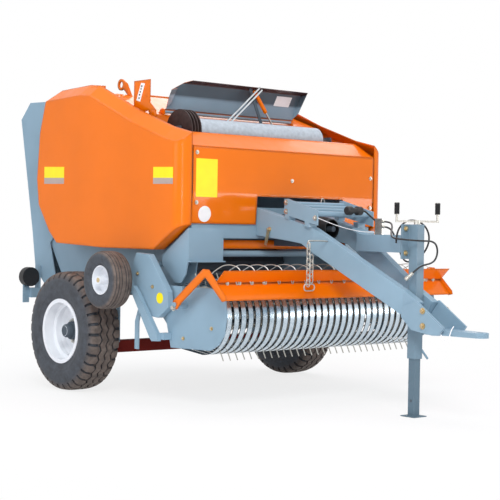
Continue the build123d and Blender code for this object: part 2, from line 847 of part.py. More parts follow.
# Gauge wheel: solid tyre on a small dished rim
gauge_rim_r = 92.0
gauge_pin_r = 14.0
with BuildPart() as gauge_tyre_right:
    with BuildSketch(wheel_frame(-gauge_x, gauge_ahead, gauge_z, -1)):
        half = gauge_w / 2
        with BuildLine():
            Polyline((-half + 22, gauge_rim_r + seat_gap), (-half + 10, 105), (-half, 130), (-half, 158), (-half + 14, 176))
            Line((-half + 14, 176), (-half + 40, gauge_r))
            Line((-half + 40, gauge_r), (half - 40, gauge_r))
            Polyline((half - 40, gauge_r), (half - 14, 176), (half, 158), (half, 130), (half - 10, 105))
            Polyline((half - 10, 105), (half - 22, gauge_rim_r + seat_gap), (-half + 22, gauge_rim_r + seat_gap))
        make_face()
    revolve(axis=Axis((0, ahead(gauge_ahead), gauge_z), (1, 0, 0)))
gauge_tyre_right.part.label = "gauge_tyre_right"

with BuildPart() as gauge_rim_right:
    with BuildSketch(wheel_frame(-gauge_x, gauge_ahead, gauge_z, -1)):
        half = gauge_w / 2
        with BuildLine():
            Polyline(
                (half - 20, gauge_rim_r),
                (20 - half, gauge_rim_r),
                (20 - half, gauge_rim_r - 6),
                (-20, gauge_rim_r - 6),
                (-24, 60),
                (-30, 30),
                (-60, 28),
                (-60, gauge_pin_r + running_gap),
                (half - 5, gauge_pin_r + running_gap),
                (half - 5, 26),
                (10, 30),
                (0, 60),
                (8, gauge_rim_r - 6),
                (half - 20, gauge_rim_r - 6),
                close=True,
            )
        make_face()
    revolve(axis=Axis((0, ahead(gauge_ahead), gauge_z), (1, 0, 0)))
gauge_rim_right.part.label = "gauge_rim_right"

with BuildPart() as gauge_tyre_left:
    mirror(gauge_tyre_right.part, about=Plane.YZ)
gauge_tyre_left.part.label = "gauge_tyre_left"

with BuildPart() as gauge_rim_left:
    mirror(gauge_rim_right.part, about=Plane.YZ)
gauge_rim_left.part.label = "gauge_rim_left"

# Lid of the net box, standing open, with its end plates and two hanging links
lid_t = 3.0
lid_line = [(415, 1874), (440, 1880), (470, 1950), (530, 2050), (600, 2060)]
lid_end = [(440, 1882), (470, 1952), (530, 2050), (598, 2060), (500, 1915)]
lid_front = [(-lid_half, 1840), (-lid_half, 2000), (-455, 2068), (lid_half, 2068), (lid_half, 1840)]
with BuildPart() as net_lid:
    sheet(-lid_half, lid_half, lid_line, lid_t, side=Side.LEFT)
    for side in (-1, 1):
        plate(side * (lid_half - lid_t), side * lid_half, lid_end)
    with BuildSketch(Plane.XZ.offset(-ahead(700))):
        with BuildLine():
            Polyline(*lid_front, close=True)
        make_face()
    extrude(amount=-400, mode=Mode.INTERSECT)
    rod(14, -lid_half, lid_half, lid_hinge_ahead, lid_hinge_z)
    for side in (-1, 1):
        rod(lid_pin_r + running_gap, side * (lid_half - 30), side * lid_half, lid_hinge_ahead, lid_hinge_z, mode=Mode.SUBTRACT)
net_lid.part.label = "net_lid"

# Strut between the lid and the net box, split into barrel and rod along its own slanted line
strut_top = Vector(104, ahead(560), 2030)
strut_foot = Vector(311, ahead(575), 1740)
strut_way = (strut_foot - strut_top).normalized()
strut_axis = Vector(-0.43739108, -0.85846988, -0.26780312)
strut_length = (strut_foot - strut_top).length
barrel_r = 14.0
strut_rod_r = 6.0
strut_ball_r = 14.0
barrel_length = 165.0
barrel_plane = Plane(origin=strut_top, z_dir=strut_way)
with BuildPart() as strut_barrel:
    with BuildSketch(barrel_plane.offset(8)):
        Circle(barrel_r)
    extrude(amount=barrel_length - 8)
    with BuildSketch(barrel_plane.offset(20)):
        Circle(strut_rod_r + running_gap)
    extrude(amount=barrel_length, mode=Mode.SUBTRACT)
    with Locations(Plane(origin=strut_top, z_dir=strut_axis)):
        Cylinder(16, 12)
strut_barrel.part.label = "strut_barrel"

with BuildPart() as strut_rod:
    with BuildSketch(barrel_plane.offset(150)):
        Circle(strut_rod_r)
    extrude(amount=strut_length - 150)
    with Locations(strut_foot):
        Sphere(strut_ball_r)
strut_rod.part.label = "strut_rod"

# Net roller across the box, with its ribbed brake disc at the right
net_ahead = 700.0
net_z = 1715.0
net_r = 90.0
net_half = 540.0
disc_r = 138.0
net_shaft_r = 15.0
with BuildPart() as net_roller:
    rod(net_r, -net_half, net_half, net_ahead, net_z)
    rod(net_shaft_r, -668, 668, net_ahead, net_z)
    rod(100, -655, -575, net_ahead, net_z)
    for station in (-655, -631, -607, -583):
        rod(disc_r, station, station + 8, net_ahead, net_z)
net_roller.part.label = "net_roller"

# Bearings of the net roller, standing on the floor of the box
with BuildPart() as net_bearings:
    for side in (-1, 1):
        plate(side * 660, side * 672, [(650, trough_z), (665, 1745), (735, 1745), (750, trough_z)])
        rod(net_shaft_r + running_gap, side * 658, side * 674, net_ahead, net_z, mode=Mode.SUBTRACT)
    block((303, 319), (560, 590), (trough_z, 1725.9))
net_bearings.part.label = "net_bearings"

# Bale size gauge beside the lid, with its rod to the lid's end
with BuildPart() as bale_gauge:
    plate(
        -754,
        -750,
        [(340, 1869), (340, 2050), (520, 2050), (520, 1900), (585, 1848), (585, 1790), (535, 1790), (500, 1850), (440, 1835.2)],
    )
    rod(32, -760, -754, 564, 1816)
    rod(6, -750, -575, 480, 1945)
bale_gauge.part.label = "bale_gauge"

# Tailgate cylinders, closed at rest: barrel on the chamber, rod to the tailgate
base_ahead = 300.0
base_z = 1250.0
gate_pin_ahead = -300.0
gate_pin_z = 1800.0
ram_in = 735.0
ram_out = 779.0
ram_r = 20.0
cylinder_r = 32.0
cylinder_bore_gap = 0.1
base_pin_r = 20.0
cylinder_length = 560.0
ram_mid = (ram_in + ram_out) / 2
ram_base = Vector(-ram_mid, ahead(base_ahead), base_z)
ram_eye = Vector(-ram_mid, ahead(gate_pin_ahead), gate_pin_z)
ram_way = (ram_eye - ram_base).normalized()
ram_length = (ram_eye - ram_base).length
ram_plane = Plane(origin=ram_base, x_dir=(1, 0, 0), z_dir=ram_way)
with BuildPart() as gate_barrel_right:
    with BuildSketch(ram_plane.offset(24)):
        Circle(cylinder_r)
    extrude(amount=cylinder_length - 24)
    with BuildSketch(ram_plane.offset(60)):
        Circle(ram_r + cylinder_bore_gap)
    extrude(amount=cylinder_length, mode=Mode.SUBTRACT)
    rod(40, -ram_out, -ram_in, base_ahead, base_z)
    rod(base_pin_r + running_gap, -ram_out, -ram_in, base_ahead, base_z, mode=Mode.SUBTRACT)
gate_barrel_right.part.label = "gate_barrel_right"

with BuildPart() as gate_ram_right:
    with BuildSketch(ram_plane.offset(320)):
        Circle(ram_r)
    extrude(amount=ram_length - 320 - 12)
    rod(36, -ram_out, -ram_in, gate_pin_ahead, gate_pin_z)
    rod(20, -ram_in, -722, gate_pin_ahead, gate_pin_z)
gate_ram_right.part.label = "gate_ram_right"

with BuildPart() as gate_barrel_left:
    mirror(gate_barrel_right.part, about=Plane.YZ)
gate_barrel_left.part.label = "gate_barrel_left"

with BuildPart() as gate_ram_left:
    mirror(gate_ram_right.part, about=Plane.YZ)
gate_ram_left.part.label = "gate_ram_left"

# Pins fixed to the chamber's plates: cylinder bases and the pickup's pivots
with BuildPart() as side_pins:
    for side in (-1, 1):
        rod(base_pin_r, side * (chamber_half + plate_t), side * (ram_out + 8), base_ahead, base_z)
        rod(23, side * (chamber_half + plate_t), side * (ram_in - 1), base_ahead, base_z)
        rod(lift_pin_r, side * (chamber_half + plate_t), side * (pickup_half + 3), lift_ahead, lift_z)
        rod(42, side * (chamber_half + plate_t), side * (pickup_half - 16), lift_ahead, lift_z)
side_pins.part.label = "side_pins"

os.makedirs("parts", exist_ok=True)
export_step(axle_beam.part, "parts/axle_beam.step")
export_step(tyre_right.part, "parts/tyre_right.step")
export_step(rim_right.part, "parts/rim_right.step")
export_step(tyre_left.part, "parts/tyre_left.step")
export_step(rim_left.part, "parts/rim_left.step")
export_step(chamber_side_right.part, "parts/chamber_side_right.step")
export_step(chamber_side_left.part, "parts/chamber_side_left.step")
export_step(chamber_rollers.part, "parts/chamber_rollers.step")
export_step(tailgate_side_right.part, "parts/tailgate_side_right.step")
export_step(tailgate_side_left.part, "parts/tailgate_side_left.step")
export_step(tailgate_skin.part, "parts/tailgate_skin.step")
export_step(tailgate_rollers.part, "parts/tailgate_rollers.step")
export_step(light_bar.part, "parts/light_bar.step")
export_step(hinge_pins.part, "parts/hinge_pins.step")
export_step(front_frame.part, "parts/front_frame.step")
export_step(intake_hood.part, "parts/intake_hood.step")
export_step(drawbar_arm_right.part, "parts/drawbar_arm_right.step")
export_step(drawbar_arm_left.part, "parts/drawbar_arm_left.step")
export_step(hitch.part, "parts/hitch.step")
export_step(jack_tube_part.part, "parts/jack_tube.step")
export_step(jack_leg_part.part, "parts/jack_leg.step")
export_step(jack_crank.part, "parts/jack_crank.step")
export_step(jack_bracket.part, "parts/jack_bracket.step")
export_step(step_platform.part, "parts/step_platform.step")
export_step(gearbox.part, "parts/gearbox.step")
export_step(shaft_guard.part, "parts/shaft_guard.step")
export_step(front_panel.part, "parts/front_panel.step")
export_step(top_deck.part, "parts/top_deck.step")
export_step(side_panel_right.part, "parts/side_panel_right.step")
export_step(side_panel_left.part, "parts/side_panel_left.step")
export_step(drive_cover_right.part, "parts/drive_cover_right.step")
export_step(drive_cover_left.part, "parts/drive_cover_left.step")
export_step(feed_rotor.part, "parts/feed_rotor.step")
export_step(rotor_tub.part, "parts/rotor_tub.step")
export_step(pickup_frame.part, "parts/pickup_frame.step")
export_step(pickup_bands.part, "parts/pickup_bands.step")
export_step(reel.part, "parts/reel.step")
export_step(crop_guard.part, "parts/crop_guard.step")
export_step(guard_chain.part, "parts/guard_chain.step")
export_step(gauge_tyre_right.part, "parts/gauge_tyre_right.step")
export_step(gauge_rim_right.part, "parts/gauge_rim_right.step")
export_step(gauge_tyre_left.part, "parts/gauge_tyre_left.step")
export_step(gauge_rim_left.part, "parts/gauge_rim_left.step")
export_step(net_lid.part, "parts/net_lid.step")
export_step(strut_barrel.part, "parts/strut_barrel.step")
export_step(strut_rod.part, "parts/strut_rod.step")
export_step(net_roller.part, "parts/net_roller.step")
export_step(net_bearings.part, "parts/net_bearings.step")
export_step(bale_gauge.part, "parts/bale_gauge.step")
export_step(gate_barrel_right.part, "parts/gate_barrel_right.step")
export_step(gate_ram_right.part, "parts/gate_ram_right.step")
export_step(gate_barrel_left.part, "parts/gate_barrel_left.step")
export_step(gate_ram_left.part, "parts/gate_ram_left.step")
export_step(side_pins.part, "parts/side_pins.step")
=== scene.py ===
"""Dresses the towed round baler: finishes, tyres, sheet-metal trim, fasteners, hoses and the studio."""
import math

import bpy
import numpy as np
from mathutils import Matrix


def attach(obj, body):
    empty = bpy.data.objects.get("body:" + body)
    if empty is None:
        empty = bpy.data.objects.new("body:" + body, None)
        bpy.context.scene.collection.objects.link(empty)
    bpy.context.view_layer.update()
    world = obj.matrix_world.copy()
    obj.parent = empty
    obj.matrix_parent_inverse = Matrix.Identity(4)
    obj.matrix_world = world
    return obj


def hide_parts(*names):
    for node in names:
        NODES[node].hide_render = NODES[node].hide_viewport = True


bl_info = {
    "name": "Round baler dresser",
    "version": (1, 0, 0),
    "blender": (4, 5, 0),
    "location": "3D View > Sidebar > Baler",
    "description": "Finishes, tyres, trim, hoses and studio for a towed round baler",
    "category": "Object",
}

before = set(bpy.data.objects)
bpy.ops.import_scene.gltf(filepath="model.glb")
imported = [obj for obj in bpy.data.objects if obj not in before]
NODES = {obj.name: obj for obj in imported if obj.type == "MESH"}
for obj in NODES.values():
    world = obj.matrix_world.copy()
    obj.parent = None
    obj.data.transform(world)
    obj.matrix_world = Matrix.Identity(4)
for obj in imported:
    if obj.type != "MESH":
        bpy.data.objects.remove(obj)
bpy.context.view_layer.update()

MM = 0.001
AXLE_Y = 0.782
# Way across that each side lies, and the word for it in names
SIDES = {-1: "right", 1: "left"}


def both(*stems):
    """Names of the right and the left part of each stem."""
    return [stem + "_" + word for stem in stems for word in SIDES.values()]


# The finish of each CAD node, by material name
NODE_FINISH = {
    "orange enamel": [
        *both("side_panel"), "front_panel", "top_deck", "crop_guard", "intake_hood", "bale_gauge",
        "strut_barrel",
    ],
    "blue-grey enamel": [
        *both("tailgate_side", "drawbar_arm", "chamber_side", "drive_cover", "gate_barrel"), "tailgate_skin",
        "light_bar", "hitch", "jack_bracket", "step_platform", "pickup_frame", "front_frame",
    ],
    # Darker copies of the blue-grey enamel, which paint shade on the jack's leg and tube
    "deeper shaded blue-grey enamel": ["jack_leg"],
    "shaded blue-grey enamel": ["jack_tube"],
    "dark slate enamel": [
        "rotor_tub", "feed_rotor", "gearbox", "chamber_rollers", "tailgate_rollers", "net_bearings",
    ],
    "galvanised sheet": ["pickup_bands"],
    "zinc-plated steel": ["hinge_pins", "jack_crank", "guard_chain", "side_pins", "reel", "strut_rod"],
    "hard chrome": both("gate_ram"),
    "aluminium-white enamel": both("rim", "gauge_rim"),
    # The axle beam's dark red is painted shade: it stands in for its orange enamel in shadow
    "axle enamel in painted shade": ["axle_beam"],
    "tyre rubber": both("tyre", "gauge_tyre"),
    "moulded black polyethylene": ["shaft_guard"],
    "lid enamel": ["net_lid"],
    "net roller": ["net_roller"],
}


# Numbers and places


def at(x, a, z):
    """Point in metres from mm across, ahead of the axle and up: y is the axle's y less the distance ahead."""
    return np.array([x * MM, AXLE_Y - a * MM, z * MM])


def at_rows(rows):
    """The same for a table of rows (across, ahead, up)."""
    rows = np.asarray(rows, dtype=float)
    return np.stack([rows[:, 0] * MM, AXLE_Y - rows[:, 1] * MM, rows[:, 2] * MM], axis=1)


def linear(hex_colour):
    """sRGB hex to linear: c / 12.92 up to 0.04045, above that ((c + 0.055) / 1.055) to the power 2.4."""
    code = np.array([int(hex_colour[i:i + 2], 16) / 255 for i in (1, 3, 5)])
    value = np.where(code <= 0.04045, code / 12.92, ((code + 0.055) / 1.055) ** 2.4)
    return (*value.tolist(), 1.0)


def shades(colour, spread_by, level=1.0):
    """A darker and a lighter neighbour of a linear colour at this level of it, by this share."""
    steps = (-spread_by, spread_by)
    return [(*(min(1.0, part * level * (1 + step)) for part in colour), 1.0) for step in steps]


def unit(vectors):
    """Each vector over its own length."""
    return vectors / np.linalg.norm(vectors, axis=-1, keepdims=True)


def square_to(axis):
    """Unit vectors along an axis, or along each of several, and two more square to it and to each other."""
    axis = unit(np.asarray(axis, dtype=float))
    helper = np.where(np.abs(axis[..., 2:]) < 0.9, (0.0, 0.0, 1.0), (1.0, 0.0, 0.0))
    side = unit(np.cross(helper, axis))
    return axis, side, np.cross(axis, side)


def circle(steps, side, up):
    """Points round a circle of radius 1: cos t side + sin t up, for t in even steps."""
    turn = np.linspace(0, 2 * np.pi, steps, endpoint=False)[:, None]
    return np.cos(turn) * side + np.sin(turn) * up


def add_object(name, data):
    """Object of this data in the scene."""
    made = bpy.data.objects.new(name, data)
    bpy.context.scene.collection.objects.link(made)
    return made


# Shader nodes


def bare_tree(owner):
    """The emptied node tree of a material or a world."""
    owner.use_nodes = True
    owner.node_tree.nodes.clear()
    return owner.node_tree


def add_node(tree, kind, settings=None, links=None):
    """Adds one shader node, sets its properties and sockets by name and joins outputs to its inputs."""
    made = tree.nodes.new(kind)
    for key, value in (settings or {}).items():
        if key in made.inputs:
            made.inputs[key].default_value = value
        else:
            setattr(made, key, value)
    for key, output in (links or {}).items():
        tree.links.new(output, made.inputs[key])
    return made


def start_material(name, settings):
    """A material of one Principled shader with these socket values, its tree, shader and coordinates."""
    material = bpy.data.materials.new(name)
    tree = bare_tree(material)
    shader = add_node(tree, "ShaderNodeBsdfPrincipled", settings)
    output = add_node(tree, "ShaderNodeOutputMaterial", None, {"Surface": shader.outputs["BSDF"]})
    output.is_active_output = True
    coordinates = add_node(tree, "ShaderNodeTexCoord").outputs["Object"]
    return material, tree, shader, coordinates


def wire(tree, shader, outputs):
    """Joins each output to the shader's socket of that name."""
    for key, output in outputs.items():
        tree.links.new(output, shader.inputs[key])


def fill_sockets(tree, made, values):
    """Joins outputs to sockets and sets the sockets whose value is a plain number or a hex colour."""
    for socket, value in values.items():
        if isinstance(value, str):
            made.inputs[socket].default_value = linear(value)
        elif isinstance(value, (int, float)):
            made.inputs[socket].default_value = value
        else:
            tree.links.new(value, made.inputs[socket])


def number(tree, operation, *values):
    """Output of one Math node on outputs and plain numbers."""
    made = add_node(tree, "ShaderNodeMath", {"operation": operation})
    fill_sockets(tree, made, dict(enumerate(values)))
    return made.outputs["Value"]


def mixed(tree, share, first, second):
    """Colour that goes from the first to the second as the share goes from 0 to 1."""
    made = add_node(tree, "ShaderNodeMix", {"data_type": "RGBA"})
    fill_sockets(tree, made, {"Factor": share, 6: first, 7: second})
    return made.outputs[2]


def ranged(tree, value, start, end, low, high, interpolation="LINEAR"):
    """Number that runs from low to high as the value goes from start to end."""
    limits = {"From Min": start, "From Max": end, "To Min": low, "To Max": high}
    settings = {"interpolation_type": interpolation, **limits}
    return add_node(tree, "ShaderNodeMapRange", settings, {"Value": value}).outputs["Result"]


def split(tree, vector):
    """The three parts of a vector, by letter."""
    return add_node(tree, "ShaderNodeSeparateXYZ", None, {"Vector": vector}).outputs


def per_metre(size_mm):
    """Texture scale for cells of this size: cells a metre."""
    return 1.0 / (size_mm * MM)


# Ends of the part of a noise's range that its values mostly fill
CLOUD_LOW, CLOUD_HIGH = 0.3, 0.7


def tint(tree, pattern, dark, light, low=CLOUD_LOW, high=CLOUD_HIGH):
    """Colour that runs from dark to light, hex or linear, as the pattern goes from low to high."""
    ramp = add_node(tree, "ShaderNodeValToRGB", None, {"Fac": pattern})
    for element, place, colour in zip(ramp.color_ramp.elements, (low, high), (dark, light)):
        element.position = place
        element.color = linear(colour) if isinstance(colour, str) else colour
    return ramp.outputs["Color"]


def spread(tree, pattern, low, high):
    """Number that runs from low to high as a cloudy pattern does."""
    return ranged(tree, pattern, CLOUD_LOW, CLOUD_HIGH, low, high)


def noise(tree, coordinates, size_mm, detail=2.0, roughness=0.5):
    """Cloudy pattern whose patches are about this size."""
    settings = {"Scale": per_metre(size_mm), "Detail": detail, "Roughness": roughness}
    return add_node(tree, "ShaderNodeTexNoise", settings, {"Vector": coordinates}).outputs["Fac"]


def bump(tree, height, strength, depth_mm, normal=None):
    """Normal that leans as a height pattern of this depth would make it lean."""
    links = {"Height": height}
    if normal is not None:
        links["Normal"] = normal
    settings = {"Strength": strength, "Distance": depth_mm * MM}
    return add_node(tree, "ShaderNodeBump", settings, links).outputs["Normal"]


# Materials


def enamel(name, tints, roughness, coat, peel, fold_mm=0.0):
    """Sprayed and baked machinery enamel on pressed steel: a level glossy film with a faint orange peel, a
    slow drift in shade across each sheet and dull patches where hands and dust have been. Sheet folds are
    shaded as round by the given radius."""
    material, tree, shader, spot = start_material(
        name, {"IOR": 1.5, "Coat Weight": coat, "Coat Roughness": 0.1, "Specular IOR Level": 0.06}
    )
    drift = noise(tree, spot, 420, 3.0)
    dull = noise(tree, spot, 90, 4.0, 0.6)
    # Orange peel is about 2 mm across, drawn at 9 mm so that it still shows from some metres away
    cells = noise(tree, spot, 9, 1.0)
    fold = None
    if fold_mm:
        fold = add_node(tree, "ShaderNodeBevel", {"samples": 8, "Radius": fold_mm * MM}).outputs["Normal"]
        wire(tree, shader, {"Coat Normal": fold})
    wire(tree, shader, {
        "Base Color": tint(tree, drift, *tints),
        "Roughness": spread(tree, dull, roughness * 0.85, roughness * 1.25),
        "Normal": bump(tree, cells, peel, 0.15, fold),
    })
    return material


# Height in metres above which the lid's inside takes painted shade under its lip, and the heights over which
# painted shadow from the lip fades in on the wall below it
LIP_SHADE_FOOT = 2.042
WALL_SHADOW_FADE = (1.956, 1.972)
# Share of a face's backward look that counts with its upward look, and the sum above which it lies outside
BACK_SHARE, OUTER_ABOVE = 0.4, 0.05


def lid_enamel(name, colours):
    """The net-box lid: body orange on its outer skin, and chassis blue-grey inside with painted shadow that
    darkens the top of the wall. The underside of its top lip is painted dark red-brown as shade. The object's
    own normal tells the skins apart."""
    film = {"IOR": 1.5, "Coat Weight": 0.3, "Coat Roughness": 0.15}
    material, tree, shader, spot = start_material(name, film)
    drift = noise(tree, spot, 300, 3.0)
    facing = split(tree, add_node(tree, "ShaderNodeTexCoord").outputs["Normal"])
    outer = number(
        tree, "GREATER_THAN", number(tree, "MULTIPLY_ADD", facing["Y"], BACK_SHARE, facing["Z"]), OUTER_ABOVE
    )
    height = split(tree, spot)["Z"]
    # Painted shade under the lip: the inside above this height turns dark red-brown
    high = number(tree, "GREATER_THAN", height, LIP_SHADE_FOOT)
    # Painted shadow: a copy of the blue-grey at 0.3 of its level fades in across the top of the wall
    plain_wall, shadowed_wall = [tint(tree, drift, *shades(colours.blue_grey, 0.08, level)) for level in (1.0, 0.3)]
    blue = mixed(tree, ranged(tree, height, *WALL_SHADOW_FADE, 0.0, 1.0), plain_wall, shadowed_wall)
    inside = mixed(tree, high, blue, tint(tree, drift, "#3A2626", "#4A3434"))
    wire(tree, shader, {
        "Base Color": mixed(tree, outer, inside, tint(tree, drift, *shades(colours.orange, 0.04))),
        "Roughness": spread(tree, noise(tree, spot, 90, 4.0, 0.6), 0.34, 0.48),
    })
    return material


# Pitch of the pickup's bands in mm, and where the painted shade along their rolled edges starts to fade and
# where it is gone, as shares of it from a gap's middle
BAND_PITCH = 55.5
GAP_SHADE_OUTER, GAP_SHADE_INNER = 0.16, 0.24


def galvanised_sheet(name):
    """Hot-dip galvanised strip: bright zinc with 12 mm spangle that changes its shade, and rubbed by the
    crop. Dark painted shade lies along the rolled edges at either side of each gap between the bands."""
    material, tree, shader, spot = start_material(name, {"Metallic": 0.85})
    grain = {"Scale": per_metre(12), "Randomness": 1.0}
    cells = add_node(tree, "ShaderNodeTexVoronoi", grain, {"Vector": spot}).outputs["Color"]
    spangle = add_node(tree, "ShaderNodeSeparateColor", None, {"Color": cells}).outputs["Red"]
    # A ping-pong wave of the place across: 0 in the middle of a gap, 0.5 in the middle of a band
    counted = number(tree, "MULTIPLY", split(tree, spot)["X"], per_metre(BAND_PITCH))
    wave = number(tree, "PINGPONG", counted, 0.5)
    # Painted shade: the colour turns dark along the rolled edges beside each gap
    edge = ranged(tree, wave, GAP_SHADE_OUTER, GAP_SHADE_INNER, 1.0, 0.0)
    rubbed = noise(tree, spot, 40, 3.0)
    wire(tree, shader, {
        "Base Color": mixed(tree, edge, tint(tree, spangle, "#B9C9D4", "#CBD8E1", 0.0, 1.0), "#39434B"),
        "Roughness": spread(tree, rubbed, 0.2, 0.28),
        "Normal": bump(tree, rubbed, 0.05, 0.2),
    })
    return material


# Half the length of the net roller's barrel in mm; its discs lie outside
ROLLER_BARREL = 560.0


def roller_finish(name):
    """The net roller: a dull rolled steel barrel, and cast discs outside it, brown with grease and dust."""
    material, tree, shader, spot = start_material(name, {"Specular IOR Level": 0.3})
    reach = number(tree, "ABSOLUTE", split(tree, spot)["X"])
    outer = number(tree, "GREATER_THAN", reach, ROLLER_BARREL * MM)
    clouds = noise(tree, spot, 25, 4.0)
    steel, grease = tint(tree, clouds, "#A9B4BC", "#BECAD2"), tint(tree, clouds, "#2C2220", "#443634")
    wire(tree, shader, {
        "Base Color": mixed(tree, outer, steel, grease),
        "Roughness": spread(tree, clouds, 0.45, 0.62),
        "Normal": bump(tree, clouds, 0.1, 0.3),
    })
    return material


def grained(name, settings, cells, tints, rough=None, relief=None):
    """Material with one cloudy grain, of this size in mm and detail, that runs its colour from dark to
    light, its roughness from low to high and its relief by strength and depth in mm."""
    material, tree, shader, spot = start_material(name, settings)
    grain = noise(tree, spot, *cells)
    wire(tree, shader, {"Base Color": tint(tree, grain, *tints)})
    if rough:
        wire(tree, shader, {"Roughness": spread(tree, grain, *rough)})
    if relief:
        wire(tree, shader, {"Normal": bump(tree, grain, *relief)})
    return material


def plated_steel(name, dark, light, roughness):
    """Zinc-plated or bare drawn steel: metallic, with a fine drawn grain drawn at 4 mm to show at all."""
    return grained(name, {"Metallic": 1.0}, (4, 2.0), (dark, light), (roughness * 0.8, roughness * 1.3))


def chrome(name):
    """Hard chrome on a ground rod: a near mirror with a trace of oil haze."""
    return grained(name, {"Metallic": 1.0}, (60, 2.0), ("#CDD2D6", "#E6EAED"), (0.06, 0.16))


def moulded_plastic(name, dark, light, roughness):
    """Blow-moulded or injection-moulded plastic: dull, with a leathery grain drawn at 6 mm to show at all."""
    return grained(
        name, {"IOR": 1.49}, (6, 2.0), (dark, light), (roughness * 0.9, roughness * 1.15), (0.25, 0.3)
    )


def vinyl(name, faded, full):
    """Self-adhesive vinyl film: flat saturated colour, a little glossy, slightly bleached in patches."""
    return grained(name, {"IOR": 1.46, "Roughness": 0.35}, (60, 2.0), (faded, full))


def tyre_rubber(name):
    """Cured carbon-black rubber: dull grey walls, and field dust that browns the parts that touch the ground.
    The piece's own attribute says how far out in the tread a point lies."""
    material, tree, shader, spot = start_material(name, {"IOR": 1.52, "Specular IOR Level": 0.35})
    height = add_node(tree, "ShaderNodeAttribute", {"attribute_name": "tread"}).outputs["Fac"]
    dusty = noise(tree, spot, 45, 5.0, 0.65)
    wall, tread = tint(tree, dusty, "#33363B", "#50555C"), tint(tree, dusty, "#4A423E", "#7A6E66")
    wire(tree, shader, {
        "Base Color": mixed(tree, height, wall, tread),
        "Roughness": spread(tree, dusty, 0.55, 0.8),
        "Normal": bump(tree, noise(tree, spot, 7, 3.0), 0.3, 0.5),
    })
    return material


def lamp_lens(name, dark, light):
    """Moulded acrylic lamp lens: deep clear colour over optic ribs about 20 mm apart."""
    material, tree, shader, spot = start_material(
        name, {"IOR": 1.49, "Roughness": 0.12, "Coat Weight": 0.6, "Coat Roughness": 0.05}
    )
    # A wave's cycle is 2 pi over 20 metres long at scale 1, and pi squared over 500 at this one
    settings = {"Scale": 50 / math.pi, "Distortion": 0.0}
    ribs = add_node(tree, "ShaderNodeTexWave", settings, {"Vector": spot}).outputs["Fac"]
    wire(tree, shader, {
        "Base Color": tint(tree, ribs, dark, light, 0.0, 1.0),
        "Normal": bump(tree, ribs, 0.5, 0.6),
    })
    return material


def make_materials(colours):
    """Every finish of the machine, keyed by its name."""
    blue_grey = colours.blue_grey
    made = [
        enamel("orange enamel", shades(colours.orange, 0.04), 0.38, 0.42, 0.02, 24),
        enamel("blue-grey enamel", shades(blue_grey, 0.09), 0.42, 0.15, 0.05),
        # Darker copies of the chassis blue-grey that paint shade: the jack's tube at 0.66 of the level, its
        # leg at 0.44
        enamel("shaded blue-grey enamel", shades(blue_grey, 0.12, 0.66), 0.4, 0.1, 0.05),
        enamel("deeper shaded blue-grey enamel", shades(blue_grey, 0.14, 0.44), 0.42, 0.05, 0.06),
        enamel("dark slate enamel", shades(colours.slate, 0.12), 0.5, 0.0, 0.08),
        # Painted shade: dark red in place of the axle beam's orange in shadow
        enamel("axle enamel in painted shade", shades(colours.axle, 0.15), 0.6, 0.0, 0.1),
        enamel("aluminium-white enamel", shades(colours.rim, 0.04), 0.24, 0.4, 0.03),
        lid_enamel("lid enamel", colours),
        roller_finish("net roller"),
        galvanised_sheet("galvanised sheet"),
        plated_steel("zinc-plated steel", "#A9A79F", "#D8D6CF", 0.32),
        plated_steel("yellow-passivated bolt", "#B9A27A", "#E0CFA8", 0.34),
        chrome("hard chrome"),
        tyre_rubber("tyre rubber"),
        moulded_plastic("moulded black polyethylene", "#131415", "#1F2022", 0.5),
        moulded_plastic("hydraulic hose rubber", "#17181A", "#26282B", 0.42),
        vinyl("yellow vinyl", *shades(colours.stripe, 0.03)),
        vinyl("stone-grey vinyl", *shades(colours.stripe_foot, 0.04)),
        vinyl("white vinyl", "#F2F2F2", "#FBFBFB"),
        lamp_lens("red acrylic lens", "#7A0A0A", "#C01414"),
        lamp_lens("amber acrylic lens", "#B45A05", "#F08A10"),
    ]
    return {material.name: material for material in made}


MATERIALS = {}


# Making pieces


def grid_faces(rows, columns, wrap_rows=False, wrap_columns=False):
    """Four-cornered faces of a grid: each joins a point with its neighbours one row and one column on."""
    row = np.arange(rows if wrap_rows else rows - 1)[:, None]
    column = np.arange(columns if wrap_columns else columns - 1)[None, :]
    next_row, next_column = (row + 1) % rows, (column + 1) % columns
    cells = np.broadcast_arrays(
        row * columns + column, row * columns + next_column,
        next_row * columns + next_column, next_row * columns + column,
    )
    return np.stack(cells, axis=-1).reshape(-1, 4)


def capped(rows, steps):
    """Faces of a row of rings that a fan closes at each end; the fans' points are the last two."""
    faces = grid_faces(rows, steps, False, True).tolist()
    last, pole = (rows - 1) * steps, rows * steps
    faces += [[(i + 1) % steps, i, pole] for i in range(steps)]
    faces += [[last + i, last + (i + 1) % steps, pole + 1] for i in range(steps)]
    return faces


def outward(points, faces):
    """Turns all four-cornered faces over when the volume they enclose, a sixth of the summed triple
    products, comes out negative."""
    corner = points[faces]
    first = np.einsum("ij,ij->i", corner[:, 0], np.cross(corner[:, 1], corner[:, 2]))
    second = np.einsum("ij,ij->i", corner[:, 0], np.cross(corner[:, 2], corner[:, 3]))
    return faces[:, ::-1] if (first + second).sum() < 0 else faces


